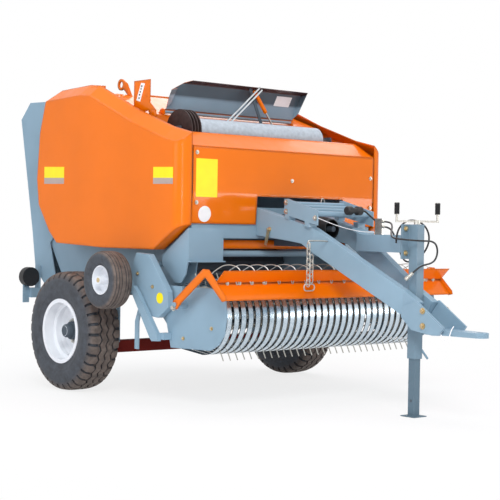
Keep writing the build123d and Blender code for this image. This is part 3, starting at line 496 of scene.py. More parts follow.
def make_piece(name, points, faces, finish, body, smooth=True, sharp=35, replaces=(), tread=None):
    """Mesh piece from points and faces, with one finish, riding on a body. Edges sharper than this many
    degrees stay crisp."""
    mesh = bpy.data.meshes.new(name)
    mesh.from_pydata(points.tolist(), [], faces.tolist() if isinstance(faces, np.ndarray) else faces)
    mesh.validate()
    mesh.polygons.foreach_set("use_smooth", np.full(len(mesh.polygons), smooth))
    if smooth:
        mesh.set_sharp_from_angle(angle=math.radians(sharp))
    if tread is not None:
        mesh.attributes.new("tread", "FLOAT", "POINT").data.foreach_set("value", tread.astype(np.float32))
    mesh.materials.append(MATERIALS[finish])
    mesh.update()
    piece = add_object(name, mesh)
    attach(piece, body)
    if replaces:
        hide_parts(*replaces)
    return piece


def merge(parts):
    """One point array and one face list out of several (points, faces) pairs, with the faces counted on."""
    start, points, faces = 0, [], []
    for some_points, some_faces in parts:
        points.append(some_points)
        faces.extend([[int(index) + start for index in face] for face in some_faces])
        start += len(some_points)
    return np.concatenate(points), faces


def tube(path, radius, reference=(1.0, 0.0, 0.0), sides=8):
    """Round bar along a path in metres: rings of points at radius (cos t side + sin t up), with its ends
    capped. Side is the path's tangent crossed with a reference, up is side crossed back."""
    path = np.asarray(path, dtype=float)
    tangent = unit(np.gradient(path, axis=0))
    side = unit(np.cross(tangent, reference))
    up = np.cross(side, tangent)
    rings = path[:, None] + radius * circle(sides, side[:, None], up[:, None])
    return np.concatenate([rings.reshape(-1, 3), path[:1], path[-1:]]), capped(len(path), sides)


def lathe(centre, axis, profile, steps=28):
    """Surface of revolution about any axis: rings at radius (cos t side + sin t up), each at its own
    distance along the axis. The profile, rows of (distance, radius) in mm, starts and ends on the axis."""
    axis, side, up = square_to(axis)
    profile = np.asarray(profile, dtype=float) * MM
    inner = profile[1:-1]
    rings = centre + inner[:, 0, None, None] * axis + inner[:, 1, None, None] * circle(steps, side, up)
    ends = centre + profile[[0, -1], 0][:, None] * axis
    return np.concatenate([rings.reshape(-1, 3), ends]), capped(len(inner), steps)


def link(centre, along, across, length, width, wire_size, steps=28, sides=8):
    """Chain link: a round wire along a stadium, whose point at angle t is half the width (cos t, sin t) with
    straight runs added along the length."""
    along, across = unit(np.asarray(along, dtype=float)), unit(np.asarray(across, dtype=float))
    turn = np.linspace(0, 2 * np.pi, steps, endpoint=False)
    half, reach = width / 2, (length - width) / 2
    path = (
        centre + (half * np.cos(turn))[:, None] * across
        + (half * np.sin(turn) + reach * np.sign(np.round(np.sin(turn), 6)))[:, None] * along
    )
    tangent = unit(np.roll(path, -1, axis=0) - np.roll(path, 1, axis=0))
    normal = np.cross(along, across)
    rings = path[:, None] + wire_size / 2 * circle(sides, np.cross(tangent, normal)[:, None], normal)
    points, faces = rings.reshape(-1, 3), grid_faces(steps, sides, True, True)
    return points, outward(points, faces)


def quadratic(start, corner, end, share):
    """Curve pulled towards a corner: (1 - t) squared start + 2t (1 - t) corner + t squared end."""
    share = share[:, None]
    return (1 - share) ** 2 * start + 2 * share * (1 - share) * corner + share ** 2 * end


def rounded(corners, radius, steps=6):
    """Path with each inner corner of a broken line rounded: a quadratic curve from a point radius before
    the corner to one radius after it. Neither takes more than about half of its run."""
    corners = np.asarray(corners, dtype=float)
    parts = [corners[:1]]
    for corner, *ends in zip(corners[1:-1], corners[:-2], corners[2:]):
        start, end = [
            corner + unit(end - corner) * min(radius, np.linalg.norm(end - corner) * 0.49) for end in ends
        ]
        parts.append(quadratic(start, corner, end, np.linspace(0, 1, steps)))
    parts.append(corners[-1:])
    return np.concatenate(parts)


def plate_piece(outline, thickness, normal):
    """Flat plate: an outline of points in metres and its copy moved by the thickness along the normal,
    joined at the rim."""
    outline, count = np.asarray(outline, dtype=float), len(outline)
    points = np.concatenate([outline, outline + np.asarray(normal, dtype=float) * thickness])
    rim = [[i, (i + 1) % count, count + (i + 1) % count, count + i] for i in range(count)]
    faces = [list(range(count))[::-1], list(range(count, 2 * count))] + rim
    if np.dot(np.cross(outline[1] - outline[0], outline[2] - outline[0]), normal) < 0:
        faces = [face[::-1] for face in faces]
    return points, faces


def disc(centre, axis, radius, thickness, steps=32):
    """Round plate: a circle of points round the centre square to the axis, thickened along it."""
    axis, side, up = square_to(axis)
    return plate_piece(centre + radius * circle(steps, side, up), thickness, axis)


# Points round a hexagon head, and its washer's width and thickness as shares of the width across flats
HEAD_STEPS = 12
WASHER, WASHER_T = 1.9, 0.25


def bolts(places, way, across_flats, head):
    """Hexagon heads on washers, all in one mesh and facing one way. In a head's own frame a ring is radius
    (cos t, sin t) at a height; a hexagon's radius at angle t is half its width across flats over cos of t's
    distance from the nearest flat."""
    places = np.asarray(places, dtype=float)
    axis, side, up = square_to(way)
    turn = np.arange(HEAD_STEPS) * 2 * np.pi / HEAD_STEPS
    hexagon = 0.5 / np.cos(np.where(np.arange(HEAD_STEPS) % 2, np.pi / 6, 0.0))
    washer, top = np.full(HEAD_STEPS, WASHER / 2), WASHER_T + head
    rings = [
        (washer, 0.0), (washer, WASHER_T), (hexagon, WASHER_T), (hexagon, WASHER_T + head * 0.85),
        (hexagon * 0.86, top), (hexagon * 0, top),
    ]
    across = np.array([radius for radius, _ in rings]) * across_flats * MM
    height = np.array([[rise] * HEAD_STEPS for _, rise in rings]) * across_flats * MM
    local = (
        (across * np.cos(turn))[..., None] * side + (across * np.sin(turn))[..., None] * up
        + height[..., None] * axis
    )
    points = (places[:, None, None] + local).reshape(-1, 3)
    one = grid_faces(len(rings), HEAD_STEPS, False, True)
    starts = np.arange(len(places)) * len(rings) * HEAD_STEPS
    return points, (one[None] + starts[:, None, None]).reshape(-1, 4)


# Settings a user may change


def length_setting(name, text, default_mm, low_mm, high_mm):
    """A length in metres with its default and limits in millimetres."""
    return bpy.props.FloatProperty(
        name=name, description=text, default=default_mm * MM, min=low_mm * MM, max=high_mm * MM,
        subtype="DISTANCE", unit="LENGTH",
    )


def colour_setting(name, text, hex_colour):
    """A colour whose default is written in sRGB hex."""
    return bpy.props.FloatVectorProperty(
        name=name, description=text, default=linear(hex_colour)[:3], min=0.0, max=1.0, size=3,
        subtype="COLOR",
    )


class BalerSizes(bpy.types.PropertyGroup):
    groove_depth: length_setting("Tread depth", "Depth of the grooves of the road tyres", 15, 2, 20)
    lug_count: bpy.props.IntProperty(
        name="Lugs round", description="Shoulder lugs round a road tyre", default=35, min=20, max=60
    )
    hose_size: length_setting("Hose size", "Outside diameter of the hydraulic hoses", 11, 6, 30)


class BalerColours(bpy.types.PropertyGroup):
    orange: colour_setting("Body orange", "Enamel of the panels and the crop guard", "#EF7500")
    blue_grey: colour_setting("Chassis blue-grey", "Enamel of the drawbar, plates and covers", "#8CA8B9")
    slate: colour_setting("Chamber slate", "Enamel inside the bale chamber", "#535C64")
    rim: colour_setting("Rim white", "Aluminium-white enamel of the rims", "#ECF0F4")
    # Dark red that paints the shade on the axle beam, whose enamel is orange
    axle: colour_setting("Axle red", "Dark red painted shade on the axle beam's orange", "#7C2A25")
    stripe: colour_setting("Stripe yellow", "Upper part of the side stripes and the blank plate", "#FFE900")
    stripe_foot: colour_setting("Stripe grey", "Lower part of the side stripes", "#B3A29A")


# Finishes

# Bent and cut sheet has a small radius along every edge, in mm, drawn in two steps
EDGE_STEPS = 2
EASED = {
    **dict.fromkeys(both("drawbar_arm"), 5), "jack_tube": 3, "jack_leg": 3,
    **dict.fromkeys(both("drive_cover"), 4),
}


def ease(node, width_mm):
    """Joins a node's loose triangles, melts flat neighbours together and rounds its edges by this width."""
    weld = node.modifiers.new("Join", "WELD")
    weld.merge_threshold = 0.01 * MM
    flat = node.modifiers.new("Melt", "DECIMATE")
    flat.decimate_type = "DISSOLVE"
    flat.angle_limit = math.radians(0.5)
    bevel = node.modifiers.new("Ease", "BEVEL")
    bevel.width = width_mm * MM
    bevel.segments = EDGE_STEPS
    bevel.limit_method = "ANGLE"
    bevel.angle_limit = math.radians(25)
    bevel.harden_normals = True


class BALER_OT_finishes(bpy.types.Operator):
    """Makes every material and gives each CAD node its finish and its eased edges"""

    bl_idname = "baler.finishes"
    bl_label = "Finishes"

    def execute(self, context):
        MATERIALS.update(make_materials(context.scene.baler_colours))
        for finish, names in NODE_FINISH.items():
            for name in names:
                slots = NODES[name].data.materials
                slots.clear()
                slots.append(MATERIALS[finish])
        for name, width in EASED.items():
            ease(NODES[name], width)
        return {"FINISHED"}


# Tyres

# Half the track and the height of the axle, and the gauge wheels' middle: across, then (ahead, up)
TRACK_HALF, AXLE_UP = 970.0, 395.0
GAUGE_X, GAUGE_PIN = 1077.5, (542, 755)
# Half of a road tyre's section, from its middle outwards: (outboard, radius, ring groove 0 to 1, share of
# the zigzag, share of the gap between lugs)
TYRE_HALF = [
    (3.5, 393.5, 1, 1.0, 0), (6, 394.5, 0, 1.0, 0), (25, 394.5, 0, 1.0, 0), (42, 394, 0, 1.0, 0),
    (44.5, 394, 1, 1.0, 0), (52.5, 393, 1, 1.0, 0), (55, 393, 0, 1.0, 0.0), (58, 393, 0, 1.0, 1.0),
    (72, 391, 0, 0.7, 1), (88, 388, 0, 0.3, 1), (98, 384, 0, 0, 1), (105, 377, 0, 0, 1),
    (112, 365, 0, 0, 1), (117, 353, 0, 0, 0.9), (118.5, 349, 0, 0, 0.0), (119, 348, 0, 0, 0),
    (124, 336, 0, 0, 0), (129, 318, 0, 0, 0), (131.5, 300, 0, 0, 0), (130.5, 281, 0, 0, 0),
    (127, 264, 0, 0, 0), (127.5, 259, 0, 0, 0), (124, 254, 0, 0, 0), (118.5, 238, 0, 0, 0),
    (112, 225, 0, 0, 0), (110.5, 219, 0, 0, 0), (106, 212, 0, 0, 0), (99, 204, 0, 0, 0),
    (96, 197, 0, 0, 0),
]
# Places within one lug's pitch where the rows of points lie: near 0 and 0.5 are the edges of the gaps
LUG_ROWS = np.array([0.0, 0.11, 0.15, 0.22, 0.29, 0.35, 0.39, 0.5, 0.61, 0.65, 0.71, 0.78, 0.85, 0.89])
# Half a gap's length and its slope's length as shares of a pitch, and the grooves' swing to either side in mm
GAP_HALF, GAP_SLOPE, SWING = 0.15, 0.04, 8.0
# Radius in mm where the tread's brown starts, and how far out it is full
TREAD_FOOT, TREAD_RISE = 340, 40
# Half of a gauge tyre's section: (outboard, radius, height in the tread)
GAUGE_HALF = [
    (4, 183.5, 1), (12, 183.5, 1), (14, 177, 0.1), (17, 177, 0.1), (19, 183.5, 1), (31, 183, 1),
    (33, 177, 0.1), (36, 177, 0.1), (38, 182.5, 1), (52, 180, 1), (53, 175, 0.1), (56, 174, 0.1),
    (57.5, 178, 1), (66, 173, 1), (70, 168, 0.5), (74.5, 158, 0), (77, 146, 0), (76.5, 133, 0),
    (73, 122, 0), (73.5, 118, 0), (70, 113, 0), (66, 104, 0), (60, 97, 0), (56, 92.4, 0),
]
GAUGE_STEPS = 96


def mirrored(column, sign=1):
    """A column of a half section with its mirror image before it, times this sign."""
    return np.concatenate([sign * column[::-1], column])


def wheel_ring(x, reach, turn, pin):
    """Closed ring of points at reach (cos t, sin t) round a wheel's pin, with its faces."""
    ahead, up = pin
    rows = np.stack(
        [np.broadcast_to(x, reach.shape), ahead + reach * np.cos(turn), up + reach * np.sin(turn)], axis=-1
    )
    points = at_rows(rows.reshape(-1, 3))
    return points, outward(points, grid_faces(*reach.shape, True, True))


def road_tyre(side, lugs, depth):
    """Closed ring whose radius at angle t and width x is the section's radius less the groove depth
    wherever a groove runs. The columns themselves swing by a triangle wave of t, so that the ring grooves
    zigzag, and the gaps between lugs lie at the wave's outer points, half a pitch later on the far
    shoulder."""
    table = np.array(TYRE_HALF)
    width, gap = mirrored(table[:, 0], -1), mirrored(table[:, 4], -1)
    radius, ring, swing = mirrored(table[:, 1]), mirrored(table[:, 2]), mirrored(table[:, 3])
    place = (np.arange(lugs)[:, None] + LUG_ROWS[None, :]).reshape(-1)
    phase = place % 1.0
    wave = np.abs(phase * 2 - 1) * 2 - 1
    cut = ring[None, :]
    for shoulder, far in ((1, np.minimum(phase, 1 - phase)), (-1, np.abs(phase - 0.5))):
        near = np.clip((GAP_HALF - far) / GAP_SLOPE, 0, 1)
        cut = np.maximum(cut, np.maximum(shoulder * gap, 0)[None, :] * near[:, None])
    run = np.gradient(width)
    lean = np.clip(np.abs(np.gradient(radius) / np.where(np.abs(run) < 0.01, 0.01, run)), 0, 1.2)
    down = depth / np.sqrt(1 + lean ** 2)
    across = width[None, :] + SWING * wave[:, None] * swing[None, :]
    across = across - np.sign(width) * cut * (down * lean)[None, :]
    reach = radius[None, :] - cut * down[None, :]
    height = np.clip((reach - TREAD_FOOT) / TREAD_RISE, 0, 1) * (1 - 1.1 * cut)
    turn = place[:, None] / lugs * 2 * np.pi
    return *wheel_ring(side * (TRACK_HALF + across), reach, turn, (0, AXLE_UP)), height.reshape(-1)


def gauge_tyre(side):
    """Closed ring turned from a section with straight ribs: radius (cos t, sin t) round the wheel's pin."""
    table = np.array(GAUGE_HALF)
    width, radius, height = mirrored(table[:, 0], -1), mirrored(table[:, 1]), mirrored(table[:, 2])
    turn = np.linspace(0, 2 * np.pi, GAUGE_STEPS, endpoint=False)[:, None]
    reach = np.broadcast_to(radius, (GAUGE_STEPS, len(width)))
    return *wheel_ring(side * (GAUGE_X + width), reach, turn, GAUGE_PIN), np.tile(height, GAUGE_STEPS)


class BALER_OT_tyres(bpy.types.Operator):
    """Treads the road tyres and ribs the gauge tyres"""

    bl_idname = "baler.tyres"
    bl_label = "Tyres"

    def execute(self, context):
        sizes = context.scene.baler_sizes
        for side, word in SIDES.items():
            for name, body, node, (points, faces, height) in (
                ("road_tyre_", "wheel_", "tyre_", road_tyre(side, sizes.lug_count, sizes.groove_depth / MM)),
                ("ribbed_tyre_", "gauge_wheel_", "gauge_tyre_", gauge_tyre(side)),
            ):
                make_piece(
                    name + word, points, faces, "tyre rubber", body + word, sharp=28, replaces=[node + word],
                    tread=height,
                )
        return {"FINISHED"}


# Stripes and blank plates

FILM = 0.6 * MM
PANEL_X = 893.0
# Side stripes: place, then for the rear and the front end the distance ahead and the heights of the grey
# film's foot, of the seam with the yellow one and of the top
STRIPES = [
    ("rear", (-530, (1384, 1426, 1503)), (-275, (1380, 1421, 1496))),
    ("front", (756, (1364, 1402, 1470)), (961, (1361, 1398, 1465))),
]
# Yellow plate on the front panel
PLATE_OUTLINE = [(-770, 1034, 1285), (-600, 1034, 1285), (-600, 1034, 1523), (-770, 1034, 1523)]
# White disc: middle, radius and points round it. The panel there leans by this much ahead for each mm up
WHITE_DISC, WHITE_R, WHITE_STEPS = (-691, 1024.6, 1180), 50, 40
FOOT_LEAN = 0.073
# Yellow disc on each drive cover: middle, and radius
YELLOW_DISC, YELLOW_R = (960, 935, 658), 34 * MM


class BALER_OT_stripes(bpy.types.Operator):
    """Lays the blank stripes, plate and discs of vinyl film on the panels"""

    bl_idname = "baler.stripes"
    bl_label = "Stripes and blank plates"

    def execute(self, context):
        for side, word in SIDES.items():
            x = side * PANEL_X
            for place, (rear, rear_up), (front, front_up) in STRIPES:
                for part, step, finish in (("grey", 0, "stone-grey vinyl"), ("yellow", 1, "yellow vinyl")):
                    outline = at_rows([
                        (x, rear, rear_up[step]), (x, front, front_up[step]),
                        (x, front, front_up[step + 1]), (x, rear, rear_up[step + 1]),
                    ])
                    film = plate_piece(outline, FILM, (side, 0, 0))
                    make_piece(f"stripe_{part}_{place}_{word}", *film, finish, "panel_" + word, False)
        plate = plate_piece(at_rows(PLATE_OUTLINE), FILM, (0, -1, 0))
        make_piece("blank_plate_yellow", *plate, "yellow vinyl", "chassis", False)
        edge = circle(WHITE_STEPS, np.array([1, 0, 0]), np.array([0, FOOT_LEAN, 1]))
        outline = at_rows(np.array(WHITE_DISC) + WHITE_R * edge)
        plate = plate_piece(outline, FILM, unit(np.array([0.0, -1.0, -FOOT_LEAN])))
        make_piece("blank_disc_white", *plate, "white vinyl", "chassis", False)
        x, a, z = YELLOW_DISC
        for side, word in SIDES.items():
            plate = disc(at(side * x, a, z), (side, 0, 0), YELLOW_R, FILM)
            make_piece("blank_disc_yellow_" + word, *plate, "yellow vinyl", "chassis", False)
        return {"FINISHED"}


# Hydraulic hoses

# Routes in (across, ahead, up) from the post on the left arm round the jack's head
PRESSURE_ROUTE = [
    (136, 1776.4, 1150), (134, 1826, 1149), (88, 1888, 1124), (18, 1944, 1090), (-36, 1996, 1066),
    (-84, 2058, 1053), (-120, 2128, 1048), (-102, 2194, 1043), (-54, 2234, 1039), (2, 2246, 1038),
    (52, 2244, 1036), (98, 2236, 1017), (118, 2230, 970), (98, 2228, 923), (52, 2230, 904), (4, 2230, 898),
    (-38, 2220, 882), (-62, 2198, 850),
]
RETURN_ROUTE = [
    (136, 1776.4, 1118), (135, 1822, 1116), (124, 1876, 1062), (112, 1922, 984), (88, 1976, 926),
    (64, 2044, 904), (94, 2102, 930), (122, 2144, 994), (128, 2156, 1066), (110, 2134, 1130),
    (62, 2104, 1160), (6, 2084, 1158), (-36, 2062, 1120), (-50, 2050, 1064), (-50, 2050, 1022),
]
# The pressure hose's coupler and the way it points, and a boss of the post: (distance, radius)
COUPLER = [(0, 0), (0, 8), (4, 11), (36, 11), (38, 14), (54, 14), (60, 11), (60, 0)]
COUPLER_WAY = (-24, 22, -32)
BOSS = [(-2, 0), (-2, 9), (14, 9), (16, 7.5), (16, 0)]
# The post: outline of its plate, which stands on the arm, its thickness, and its bosses
POST_OUTLINE = [(129, 1700, 999.6), (129, 1760, 966.2), (129, 1760, 1170), (129, 1700, 1170)]
POST_T = 14 * MM
POST_BOSSES = [(136, 1760, 1150), (136, 1760, 1118)]
PULL_STRING = [(-243, 1573, 1166), (-110, 1612, 1118), (40, 1655, 1085), (130, 1699, 1084)]
STRING_R, STRING_BEND = 2.2 * MM, 90 * MM


def hose_curve(name, route, radius):
    """Round hose along a smooth NURBS line that has the route's points as its control points."""
    curve = bpy.data.curves.new(name, "CURVE")
    curve.dimensions = "3D"
    curve.resolution_u = 10
    curve.bevel_depth = radius
    curve.bevel_resolution = 3
    curve.use_fill_caps = True
    line = curve.splines.new("NURBS")
    line.points.add(len(route) - 1)
    points = at_rows(route)
    line.points.foreach_set("co", np.column_stack([points, np.ones(len(points))]).ravel())
    line.order_u = 3
    line.use_endpoint_u = True
    curve.materials.append(MATERIALS["hydraulic hose rubber"])
    piece = add_object(name, curve)
    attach(piece, "chassis")
    return piece, points


class BALER_OT_hoses(bpy.types.Operator):
    """Lays the two hydraulic hoses with their post and coupler, and the pull string"""

    bl_idname = "baler.hoses"
    bl_label = "Hydraulic hoses"

    def execute(self, context):
        size = context.scene.baler_sizes.hose_size
        parts = [plate_piece(at_rows(POST_OUTLINE), POST_T, (1, 0, 0))]
        parts += [lathe(at(*boss), (0, -1, 0), BOSS) for boss in POST_BOSSES]
        make_piece("hose_post", *merge(parts), "zinc-plated steel", "chassis", sharp=25)
        string = rounded(at_rows(PULL_STRING), STRING_BEND)
        make_piece("pull_string", *tube(string, STRING_R, (0.0, 0.0, 1.0)), "white vinyl", "chassis")
        end = lathe(at(*PRESSURE_ROUTE[-1]), COUPLER_WAY, COUPLER)
        coupler = make_piece("hose_coupler", *end, "zinc-plated steel", "chassis", sharp=25)
        pressure, points = hose_curve("pressure_hose", PRESSURE_ROUTE, size / 2)
        back, points = hose_curve("return_hose", RETURN_ROUTE, size / 2)
        return {"FINISHED"}


# Bolts, nuts and caps

# Bolts and nuts: body, finish, width across flats in mm, way they face, and places (across, ahead, up).
# Those that face out are made on the right and then on the left, with their places given outboard
BOLT_ROWS = [
    ("chassis", "yellow-passivated bolt", 20, "out", [(103, 2318, 635), (103, 2320, 548)]),
    ("chassis", "yellow-passivated bolt", 17, (0, -1, 0),
     [(-62, 2136, 1109), (62, 2136, 1109), (-62, 2136, 965), (62, 2136, 965)]),
    ("chassis", "zinc-plated steel", 14, (0, -1, 0),
     [(31, 1034, 1411), (764, 1034, 1455), (-764, 1034, 1250), (764, 1034, 1250), (-764, 1034, 1560)]),
    ("chassis", "yellow-passivated bolt", 13, "out", [(960, 859, 724), (960, 700, 800)]),
    ("pickup", "yellow-passivated bolt", 13, "out", [(908, 1382, 498), (908, 1110, 420)]),
    ("guard", "zinc-plated steel", 22, "out", [(988, 1117, 610)]),
    ("guard", "zinc-plated steel", 13, (0, -1, 0.2),
     [(x, 1505, 771) for x in (-897, -804, -707, -613, 613, 707, 804, 897)]),
    ("chassis", "zinc-plated steel", 17, "out", [(246, 1290, 1262), (246, 1555, 1165), (246, 1290, 1205)]),
    ("tailgate", "zinc-plated steel", 19, (0, 1, 0), [(-560, -947, 560), (560, -947, 560)]),
]
# Height of a bolt's head and of a wheel nut, as shares of the width across flats
BOLT_HEAD, NUT_HEAD = 0.62, 0.9
# Wheel nuts: how many, radius of their circle, turn of the first in degrees, distance outboard of the
# wheel's middle and width across flats
NUTS, NUT_CIRCLE, NUT_TURN, NUT_OUT, NUT_SIZE = 6, 75, 12, -20.2, 22
# Ribbed crank grip: (distance up, radius)
GRIP = [
    (0, 0), (0, 15), *[(3 + 4 * rib + step, 14.6 + 1.6 * (step > 0)) for rib in range(15) for step in (0, 2)],
    (66, 15), (69, 12), (69, 0),
]
# Foot of the left crank grip, across and ahead from the jack's axis, which the right one mirrors through it;
# then the height of both, and how far ahead the jack stands
GRIP_ACROSS, GRIP_AHEAD, GRIP_UP, JACK_AHEAD = 91.2, 78, 1194, 2168
# Pressed hub cap and the gauge wheel's end nut: (distance outboard, radius)
HUB_CAP = [
    (-19.6, 0), (-19.6, 60), (29, 60), (33, 56), (33, 46.5), (66, 44.5), (74, 40), (80, 30), (81, 12),
    (80, 9), (80, 0),
]
GAUGE_CAP = [(72, 0), (72, 15), (76, 15), (77, 12), (77, 0)]


class BALER_OT_fasteners(bpy.types.Operator):
    """Sets the bolts, the wheel nuts and the hub caps"""

    bl_idname = "baler.fasteners"
    bl_label = "Fasteners"

    def execute(self, context):
        count = 0
        for body, finish, size, way, places in BOLT_ROWS:
            for side in SIDES if way == "out" else (1,):
                rows = at_rows([(side * x, a, z) for x, a, z in places])
                heads = bolts(rows, (side, 0, 0) if way == "out" else way, size, BOLT_HEAD)
                make_piece(f"bolts_{count:02d}_{body}", *heads, finish, body)
                count += 1
        turns = [math.radians(360 / NUTS * nut + NUT_TURN) for nut in range(NUTS)]
        for side, word in SIDES.items():
            out = (side, 0, 0)
            x, r = side * (TRACK_HALF + NUT_OUT), NUT_CIRCLE
            nuts = at_rows([(x, r * math.cos(turn), AXLE_UP + r * math.sin(turn)) for turn in turns])
            heads = bolts(nuts, out, NUT_SIZE, NUT_HEAD)
            make_piece("wheel_nuts_" + word, *heads, "zinc-plated steel", "wheel_" + word)
            grip_foot = at(side * GRIP_ACROSS, JACK_AHEAD + side * GRIP_AHEAD, GRIP_UP)
            for name, turned, finish, body in (
                ("hub_cap_", lathe(at(side * TRACK_HALF, 0, AXLE_UP), out, HUB_CAP, steps=36),
                 "dark slate enamel", "wheel_" + word),
                ("crank_grip_", lathe(grip_foot, (0, 0, 1), GRIP, steps=20),
                 "moulded black polyethylene", "chassis"),
                ("gauge_cap_", lathe(at(side * GAUGE_X, *GAUGE_PIN), out, GAUGE_CAP, steps=24),
                 "yellow-passivated bolt", "gauge_wheel_" + word),
            ):
                make_piece(name + word, *turned, finish, body, sharp=25)
        return {"FINISHED"}


# Small parts

# Scale on the bale gauge's outer face: places across of the scale and its dots, corners and dots in
# (ahead, up), thicknesses and the dots' radius
SCALE_FACE, DOT_FACE = -754.6, -755.0
SCALE_OUTLINE = [(369, 1922), (412, 1911), (462, 2026), (420, 2033)]
SCALE_DOTS = [(400, 1935), (406, 1956), (413, 1975), (421, 1993), (428, 2010)]
SCALE_T, DOT_T, DOT_R = 0.8 * MM, 1.2 * MM, 6.5 * MM
# Bent wires on the chassis: name, finish, wire radius and bend radius in mm, and places (across, ahead, up)
WIRES = [
    ("hitch_loop", "white vinyl", 3, 12,
     [(-84, 2430, 530), (-90, 2448, 506), (-90, 2479, 462), (-90, 2494, 452), (-90, 2522, 534),
      (-84, 2536, 560)]),
    ("jack_lever", "blue-grey enamel", 7, 10, [(34, 2190, 396), (52, 2190, 377), (86, 2193, 340)]),
    ("step_hook", "zinc-plated steel", 3, 8,
     [(40, 1300, 1262), (52, 1300, 1294), (66, 1300, 1294), (78, 1300, 1262)]),
]
# The valve's black double knob, (distance, radius), its foot, and the stalk that joins it to the hose post
VALVE_KNOB = [
    (0, 0), (0, 22), (6, 27), (40, 28), (48, 18), (84, 18), (92, 28), (126, 27), (132, 22), (132, 0),
]
KNOB_FOOT = (-24, 1600, 1216)
STALK = [(100, 1600, 1216), (134, 1606, 1216), (136, 1680, 1166), (136, 1712, 1150)]
STALK_R, STALK_BEND = 6 * MM, 20 * MM
# Latch pin on the right arm, (distance, radius), its place, and the tag that hangs from it
LATCH_PIN = [(-4, 0), (-4, 15), (4, 15), (6, 9), (20, 9), (22, 6), (22, 0)]
LATCH_PLACE = (-246, 1134, 1091)
TAG = [(-254, 1122, 1094), (-254, 1146, 1088), (-262, 1127, 986), (-262, 1103, 992)]
TAG_T = 3 * MM
# Dark disc of painted shade where the hole for the leg's pin is: place on the leg's right face, radius and
# thickness
LEG_HOLE, HOLE_R, HOLE_T = (-25.2, JACK_AHEAD, 94), 9 * MM, 0.8 * MM


class BALER_OT_small(bpy.types.Operator):
    """Adds the bale gauge's blank scale, the bent wires, the valve's knob and the latch pin with its tag"""

    bl_idname = "baler.small"
    bl_label = "Small parts"

    def execute(self, context):
        right = (-1, 0, 0)
        outline = at_rows([(SCALE_FACE, a, z) for a, z in SCALE_OUTLINE])
        make_piece("blank_scale", *plate_piece(outline, SCALE_T, right), "white vinyl", "chassis", False)
        dots = [disc(at(DOT_FACE, a, z), right, DOT_R, DOT_T, steps=20) for a, z in SCALE_DOTS]
        make_piece("scale_dots", *merge(dots), "moulded black polyethylene", "chassis", False)
        for name, finish, radius, bend, places in WIRES:
            route = rounded(at_rows(places), bend * MM)
            make_piece(name, *tube(route, radius * MM, (0.0, 1.0, 0.0)), finish, "chassis")
        stalk = tube(rounded(at_rows(STALK), STALK_BEND), STALK_R, (0.0, 0.0, 1.0), sides=12)
        knob = merge([lathe(at(*KNOB_FOOT), (1, 0, 0), VALVE_KNOB), stalk])
        make_piece("valve_knob", *knob, "moulded black polyethylene", "chassis", sharp=25)
        pin = lathe(at(*LATCH_PLACE), right, LATCH_PIN, steps=24)
        tag = plate_piece(at_rows(TAG), TAG_T, right)
        make_piece("latch_pin", *merge([pin, tag]), "yellow-passivated bolt", "chassis", sharp=25)
        # Painted shade: a thin dark disc stands in for the hole
        hole = disc(at(*LEG_HOLE), right, HOLE_R, HOLE_T)
        make_piece("leg_hole_shade", *hole, "dark slate enamel", "parking_leg", False)
        return {"FINISHED"}


# Crop guard

# Spring wires of the guard: the line of (ahead, up) that each follows, how many, their pitch and their sizes
GUARD_WIRE_LINE = [
    (1511, 786), (1534, 806), (1543, 826), (1537, 850), (1505, 869), (1445, 878), (1380, 872), (1310, 842),
    (1240, 799),
]
GUARD_WIRES, WIRE_PITCH, WIRE_R, WIRE_BEND, CLAW_BEND = 16, 110.0, 3 * MM, 25 * MM, 6 * MM
# Clip round the foot of a wire: (sideways from the wire, ahead, up)
CLAW = [(-9, 1499, 792), (-9, 1511, 778), (-5, 1512, 762), (5, 1512, 762), (9, 1511, 778), (9, 1499, 792)]
# Chain: place across and ahead, height of its top and foot, pitch of its links
CHAIN_X, CHAIN_AHEAD, CHAIN_TOP, CHAIN_FOOT, CHAIN_PITCH = -360.0, 1622.0, 1012.0, 740.0, 32.0
# Its two runs: number of the first link, and where a link's middle lies from its step, across and up
CHAIN_RUNS = [(0, 0, -18), (3, 26, 4)]
# A link's and the bottom shackle's length, width and wire, and the shackle's middle
CHAIN_LINK, SHACKLE = (44 * MM, 24 * MM, 7 * MM), (86 * MM, 40 * MM, 8 * MM)
SHACKLE_PLACE = (-348, 1620, 744)
# Bent wire that the chain hangs from, in (across, up)
HANGER = [(-204, 1024), (-280, 1026), (-360, 1026), (-364, 1016), (-360, 1006)]
HANGER_R, HANGER_BEND = 4.5 * MM, 8 * MM


def guard_chain():
    """Links that hang in two runs from a bent wire and end in a shackle, each turned square to the next."""
    parts, upright, across = [], (0, 0, 1), (1, 0, 0)
    for step in range(int((CHAIN_TOP - CHAIN_FOOT) // CHAIN_PITCH)):
        flat = across if step % 2 else (0, 1, 0)
        for start, aside, rise in CHAIN_RUNS:
            if step >= start:
                middle = at(CHAIN_X + aside, CHAIN_AHEAD, CHAIN_TOP - CHAIN_PITCH * step + rise)
                parts.append(link(middle, upright, flat, *CHAIN_LINK))
    parts.append(link(at(*SHACKLE_PLACE), across, upright, *SHACKLE))
    hanger = rounded(at_rows([(x, CHAIN_AHEAD, z) for x, z in HANGER]), HANGER_BEND)
    parts.append(tube(hanger, HANGER_R, (0.0, 1.0, 0.0)))
    return merge(parts)


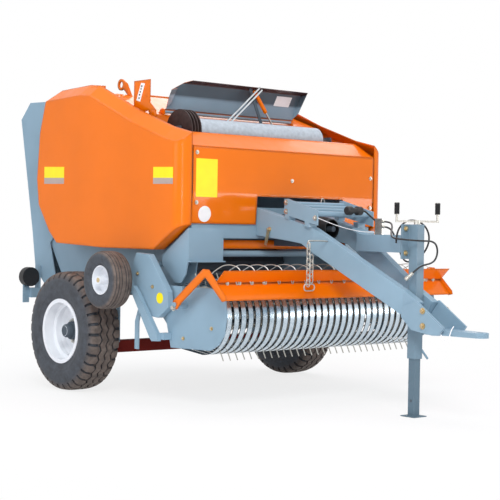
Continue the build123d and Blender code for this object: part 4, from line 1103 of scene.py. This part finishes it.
class BALER_OT_guard(bpy.types.Operator):
    """Adds the crop guard's spring wires and clips, and the chain that it hangs from"""

    bl_idname = "baler.guard"
    bl_label = "Crop guard trim"

    def execute(self, context):
        wires, clips = [], []
        for x in (np.arange(GUARD_WIRES) - (GUARD_WIRES - 1) / 2) * WIRE_PITCH:
            path = rounded(at_rows([(x, a, z) for a, z in GUARD_WIRE_LINE]), WIRE_BEND, 5)
            wires.append(tube(path, WIRE_R))
            claw = rounded(at_rows([(x + step, a, z) for step, a, z in CLAW]), CLAW_BEND, 4)
            clips.append(tube(claw, WIRE_R, (0.0, 1.0, 0.3)))
        make_piece("guard_wires", *merge(wires), "zinc-plated steel", "guard")
        make_piece("guard_clips", *merge(clips), "zinc-plated steel", "guard")
        make_piece("chain_links", *guard_chain(), "zinc-plated steel", "chassis", replaces=["guard_chain"])
        return {"FINISHED"}


# Net-box lid

# Bars that hang from the lid's front: ahead, top and foot (across, up), width, shift sideways, finish
LID_BARS = [
    (588, (134, 2056), (-208, 1758), 11, -12, "hard chrome"),
    (588, (134, 2056), (-208, 1758), 11, 12, "hard chrome"),
    (570, (48, 2053), (175, 1770), 22, 0, "dark slate enamel"),
]
LID_BAR_T = 6 * MM
# The blank plate's ends across, its foot and top, and its stand off the lid's wall, whose face runs from
# (470, 1950) to (530, 2050) in (ahead, up)
LID_PLATE_X, LID_PLATE_UP, LID_PLATE_OFF = (345, 487), (1960, 2026), 4.5
WALL_AHEAD, WALL_UP, WALL_LEAN = 470, 1950, 0.6


class BALER_OT_lid(bpy.types.Operator):
    """Adds the lid's hanging bars and its blank plate"""

    bl_idname = "baler.lid"
    bl_label = "Lid trim"

    def execute(self, context):
        for count, (ahead, top, foot, width, shift, finish) in enumerate(LID_BARS):
            run = unit(np.subtract(foot, top).astype(float))
            across = np.array([-run[1], run[0]])
            outer, inner = across * (shift + width / 2), across * (shift - width / 2)
            corners = [top + outer, foot + outer, foot + inner, top + inner]
            outline = at_rows([(x, ahead, z) for x, z in corners])
            make_piece(f"lid_bar_{count}", *plate_piece(outline, LID_BAR_T, (0, -1, 0)), finish, "lid", False)
        (left, right), (low, high) = LID_PLATE_X, LID_PLATE_UP
        outline = at_rows([
            (x, WALL_AHEAD + (z - WALL_UP) * WALL_LEAN + LID_PLATE_OFF, z)
            for x, z in ((left, low), (right, low), (right, high), (left, high))
        ])
        plate = plate_piece(outline, SCALE_T, unit(np.array([0.0, -1.0, -WALL_LEAN])))
        make_piece("blank_plate_lid", *plate, "white vinyl", "lid", False)
        return {"FINISHED"}


# Rear lamps

# Middle of the left lamp, which the right one mirrors
LAMP_PLACE = (812, -866, 720)
# Parts of a lamp: name, finish, points round it, and its section as (distance back, radius)
LAMP_PARTS = [
    ("lamp_lens_", "red acrylic lens", 40, [(13, 0), (13, 62), (19, 60), (22, 54), (23, 40), (23, 0)]),
    ("lamp_amber_", "amber acrylic lens", 32, [(22, 0), (22, 26), (23.6, 25), (24, 20), (24, 0)]),
    ("lamp_bezel_", "moulded black polyethylene", 40,
     [(-44.6, 0), (-44.6, 20), (-44.6, 69), (12, 69), (14, 67), (14, 0)]),
]


class BALER_OT_lamps(bpy.types.Operator):
    """Adds the rear lamps' lenses and bezels"""

    bl_idname = "baler.lamps"
    bl_label = "Rear lamps"

    def execute(self, context):
        x, a, z = LAMP_PLACE
        for side, word in SIDES.items():
            for name, finish, steps, section in LAMP_PARTS:
                part = lathe(at(side * x, a, z), (0, 1, 0), section, steps)
                make_piece(name + word, *part, finish, "tailgate", sharp=30)
        return {"FINISHED"}


# Studio

FLOOR_REACH = 60.0
# Distances in metres over which the floor turns white, and its share of white at each of them
FADE = (1.2, 3.6, 0.8, 1.0)
SKY_LIGHT = 0.46
# Lamps: (name, place in metres, aim, width, height, power in watts, colour)
LAMPS = [
    ("key", (-5.0, -6.0, 6.0), (0.0, 0.0, 1.0), 3.0, 3.0, 400, "#FFFFFF"),
    ("fill", (-9.0, 1.5, 4.0), (0.0, 0.3, 1.0), 5.0, 5.0, 150, "#F6F9FF"),
    ("top", (1.0, 1.0, 8.0), (0.0, 0.3, 1.0), 6.0, 6.0, 280, "#FFF4FA"),
    ("front", (5.7, -7.0, 0.8), (0.0, -0.7, 0.6), 3.4, 0.8, 85, "#FFFFFF"),
    ("corner", (-6.9, -7.4, 1.6), (-0.5, 0.0, 1.3), 0.22, 2.6, 70, "#FFF6FA"),
    ("back", (6.0, 6.0, 5.0), (0.0, 0.3, 1.0), 5.0, 5.0, 140, "#FFFFFF"),
]
# The photograph's station in metres, its yaw, pitch and roll in degrees, its focal length and width in
# pixels, and the width of the camera's sensor in mm
STATION = (-5.769, -6.616, 1.090)
YAW, PITCH, ROLL = 40.56, -0.91, 0.96
FOCAL_PX, PHOTO_PX, SENSOR = 1310.0, 500.0, 36.0


def direct_rays(tree):
    """Output that is 1 where the camera sees a thing straight, in gloss or through a clear part."""
    rays = add_node(tree, "ShaderNodeLightPath").outputs
    shiny = number(tree, "MAXIMUM", rays["Is Camera Ray"], rays["Is Glossy Ray"])
    return number(tree, "MAXIMUM", shiny, rays["Is Transmission Ray"])


def mix_surfaces(tree, share, first, second, output):
    """Mixes two shaders' outputs by a share and ends the tree in an output node of this kind."""
    mix = add_node(tree, "ShaderNodeMixShader", None, {"Fac": share, 1: first, 2: second})
    add_node(tree, output, None, {"Surface": mix.outputs["Shader"]})


def pale_floor():
    """A wide floor that takes the machine's soft shadow near its middle and turns plain white to the camera
    and in gloss further out, by the distance from the middle."""
    mesh = bpy.data.meshes.new("studio_floor")
    corners = [(x * FLOOR_REACH, y * FLOOR_REACH, 0) for x, y in ((-1, -1), (1, -1), (1, 1), (-1, 1))]
    mesh.from_pydata(corners, [], [(0, 1, 2, 3)])
    floor = add_object("studio_floor", mesh)
    material = bpy.data.materials.new("matt white studio vinyl")
    tree = bare_tree(material)
    matt = add_node(tree, "ShaderNodeBsdfDiffuse", {"Color": linear("#F7F7F7")}).outputs["BSDF"]
    glow = add_node(tree, "ShaderNodeEmission", {"Color": (1, 1, 1, 1), "Strength": 1.0}).outputs["Emission"]
    centre = add_node(tree, "ShaderNodeTexCoord").outputs["Object"]
    distance = add_node(tree, "ShaderNodeVectorMath", {"operation": "LENGTH"}, {0: centre}).outputs["Value"]
    white = number(tree, "MULTIPLY", direct_rays(tree), ranged(tree, distance, *FADE, "SMOOTHSTEP"))
    mix_surfaces(tree, white, matt, glow, "ShaderNodeOutputMaterial")
    mesh.materials.append(material)


def pale_sky(scene):
    """Plain white behind the machine for camera, gloss and clear parts; a softer level for its light."""
    scene.world = bpy.data.worlds.new("studio sky")
    tree = bare_tree(scene.world)
    soft, bright = [
        add_node(tree, "ShaderNodeBackground", {"Color": linear(colour), "Strength": level}).outputs[0]
        for colour, level in (("#F4F7FF", SKY_LIGHT), ("#FFFFFF", 1.0))
    ]
    mix_surfaces(tree, direct_rays(tree), soft, bright, "ShaderNodeOutputWorld")


def stand(thing, name, place, direction, roll=0.0):
    """Object of a lamp or camera at a place, its own -z looking along a direction with its own y upwards,
    then rolled about that direction."""
    forward = unit(np.asarray(direction, dtype=float))
    right = unit(np.cross(forward, (0.0, 0.0, 1.0)))
    up = np.cross(right, forward)
    across = math.cos(roll) * right + math.sin(roll) * up
    turn = np.stack([across, np.cross(across, forward), -forward], axis=1)
    holder = add_object(name, thing)
    holder.location = place
    holder.rotation_euler = Matrix(turn.tolist()).to_euler()
    return holder


def studio_lamps():
    """Soft oblong lamps, each turned towards its aim."""
    for name, place, aim, width, height, power, colour in LAMPS:
        lamp = bpy.data.lights.new("lamp_" + name, "AREA")
        lamp.shape = "RECTANGLE"
        lamp.size, lamp.size_y = width, height
        lamp.energy = power
        lamp.color = linear(colour)[:3]
        stand(lamp, "lamp_" + name, place, np.subtract(aim, place))


def photograph_camera(scene):
    """Camera at the photograph's station: the lens in mm is the focal length in pixels over the
    photograph's width in pixels, times the sensor's width."""
    camera = bpy.data.cameras.new("photograph")
    camera.sensor_width = SENSOR
    camera.lens = FOCAL_PX / PHOTO_PX * SENSOR
    camera.clip_end = 500.0
    yaw, pitch, roll = math.radians(YAW), math.radians(PITCH), math.radians(ROLL)
    forward = (math.sin(yaw) * math.cos(pitch), math.cos(yaw) * math.cos(pitch), math.sin(pitch))
    scene.camera = stand(camera, "photograph", STATION, forward, roll)


class BALER_OT_studio(bpy.types.Operator):
    """Puts up the pale floor, the lamps and the camera"""

    bl_idname = "baler.studio"
    bl_label = "Studio"

    def execute(self, context):
        pale_floor()
        pale_sky(context.scene)
        studio_lamps()
        photograph_camera(context.scene)
        context.scene.view_settings.view_transform = "Standard"
        return {"FINISHED"}


# Add-on


class BALER_PT_panel(bpy.types.Panel):
    """Sidebar list of the baler's steps and settings"""

    bl_label = "Round baler"
    bl_idname = "BALER_PT_panel"
    bl_space_type = "VIEW_3D"
    bl_region_type = "UI"
    bl_category = "Baler"

    def draw(self, context):
        for settings in (context.scene.baler_sizes, context.scene.baler_colours):
            for key in settings.bl_rna.properties.keys():
                if key not in ("rna_type", "name"):
                    self.layout.prop(settings, key)
        for step in STEPS:
            self.layout.operator(step.bl_idname)


STEPS = [
    BALER_OT_finishes, BALER_OT_studio, BALER_OT_hoses, BALER_OT_tyres, BALER_OT_stripes, BALER_OT_fasteners,
    BALER_OT_small, BALER_OT_guard, BALER_OT_lid, BALER_OT_lamps,
]
CLASSES = [BalerSizes, BalerColours, *STEPS, BALER_PT_panel]


def register():
    """Registers the classes and hangs the settings on the scene."""
    for kind in CLASSES:
        bpy.utils.register_class(kind)
    bpy.types.Scene.baler_sizes = bpy.props.PointerProperty(type=BalerSizes)
    bpy.types.Scene.baler_colours = bpy.props.PointerProperty(type=BalerColours)


def unregister():
    """Takes the settings and the classes away again."""
    del bpy.types.Scene.baler_colours
    del bpy.types.Scene.baler_sizes
    for kind in reversed(CLASSES):
        bpy.utils.unregister_class(kind)


def main():
    """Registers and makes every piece."""
    register()
    for step in STEPS:
        group, word = step.bl_idname.split(".")
        getattr(getattr(bpy.ops, group), word)()


if __name__ == "__main__":
    main()
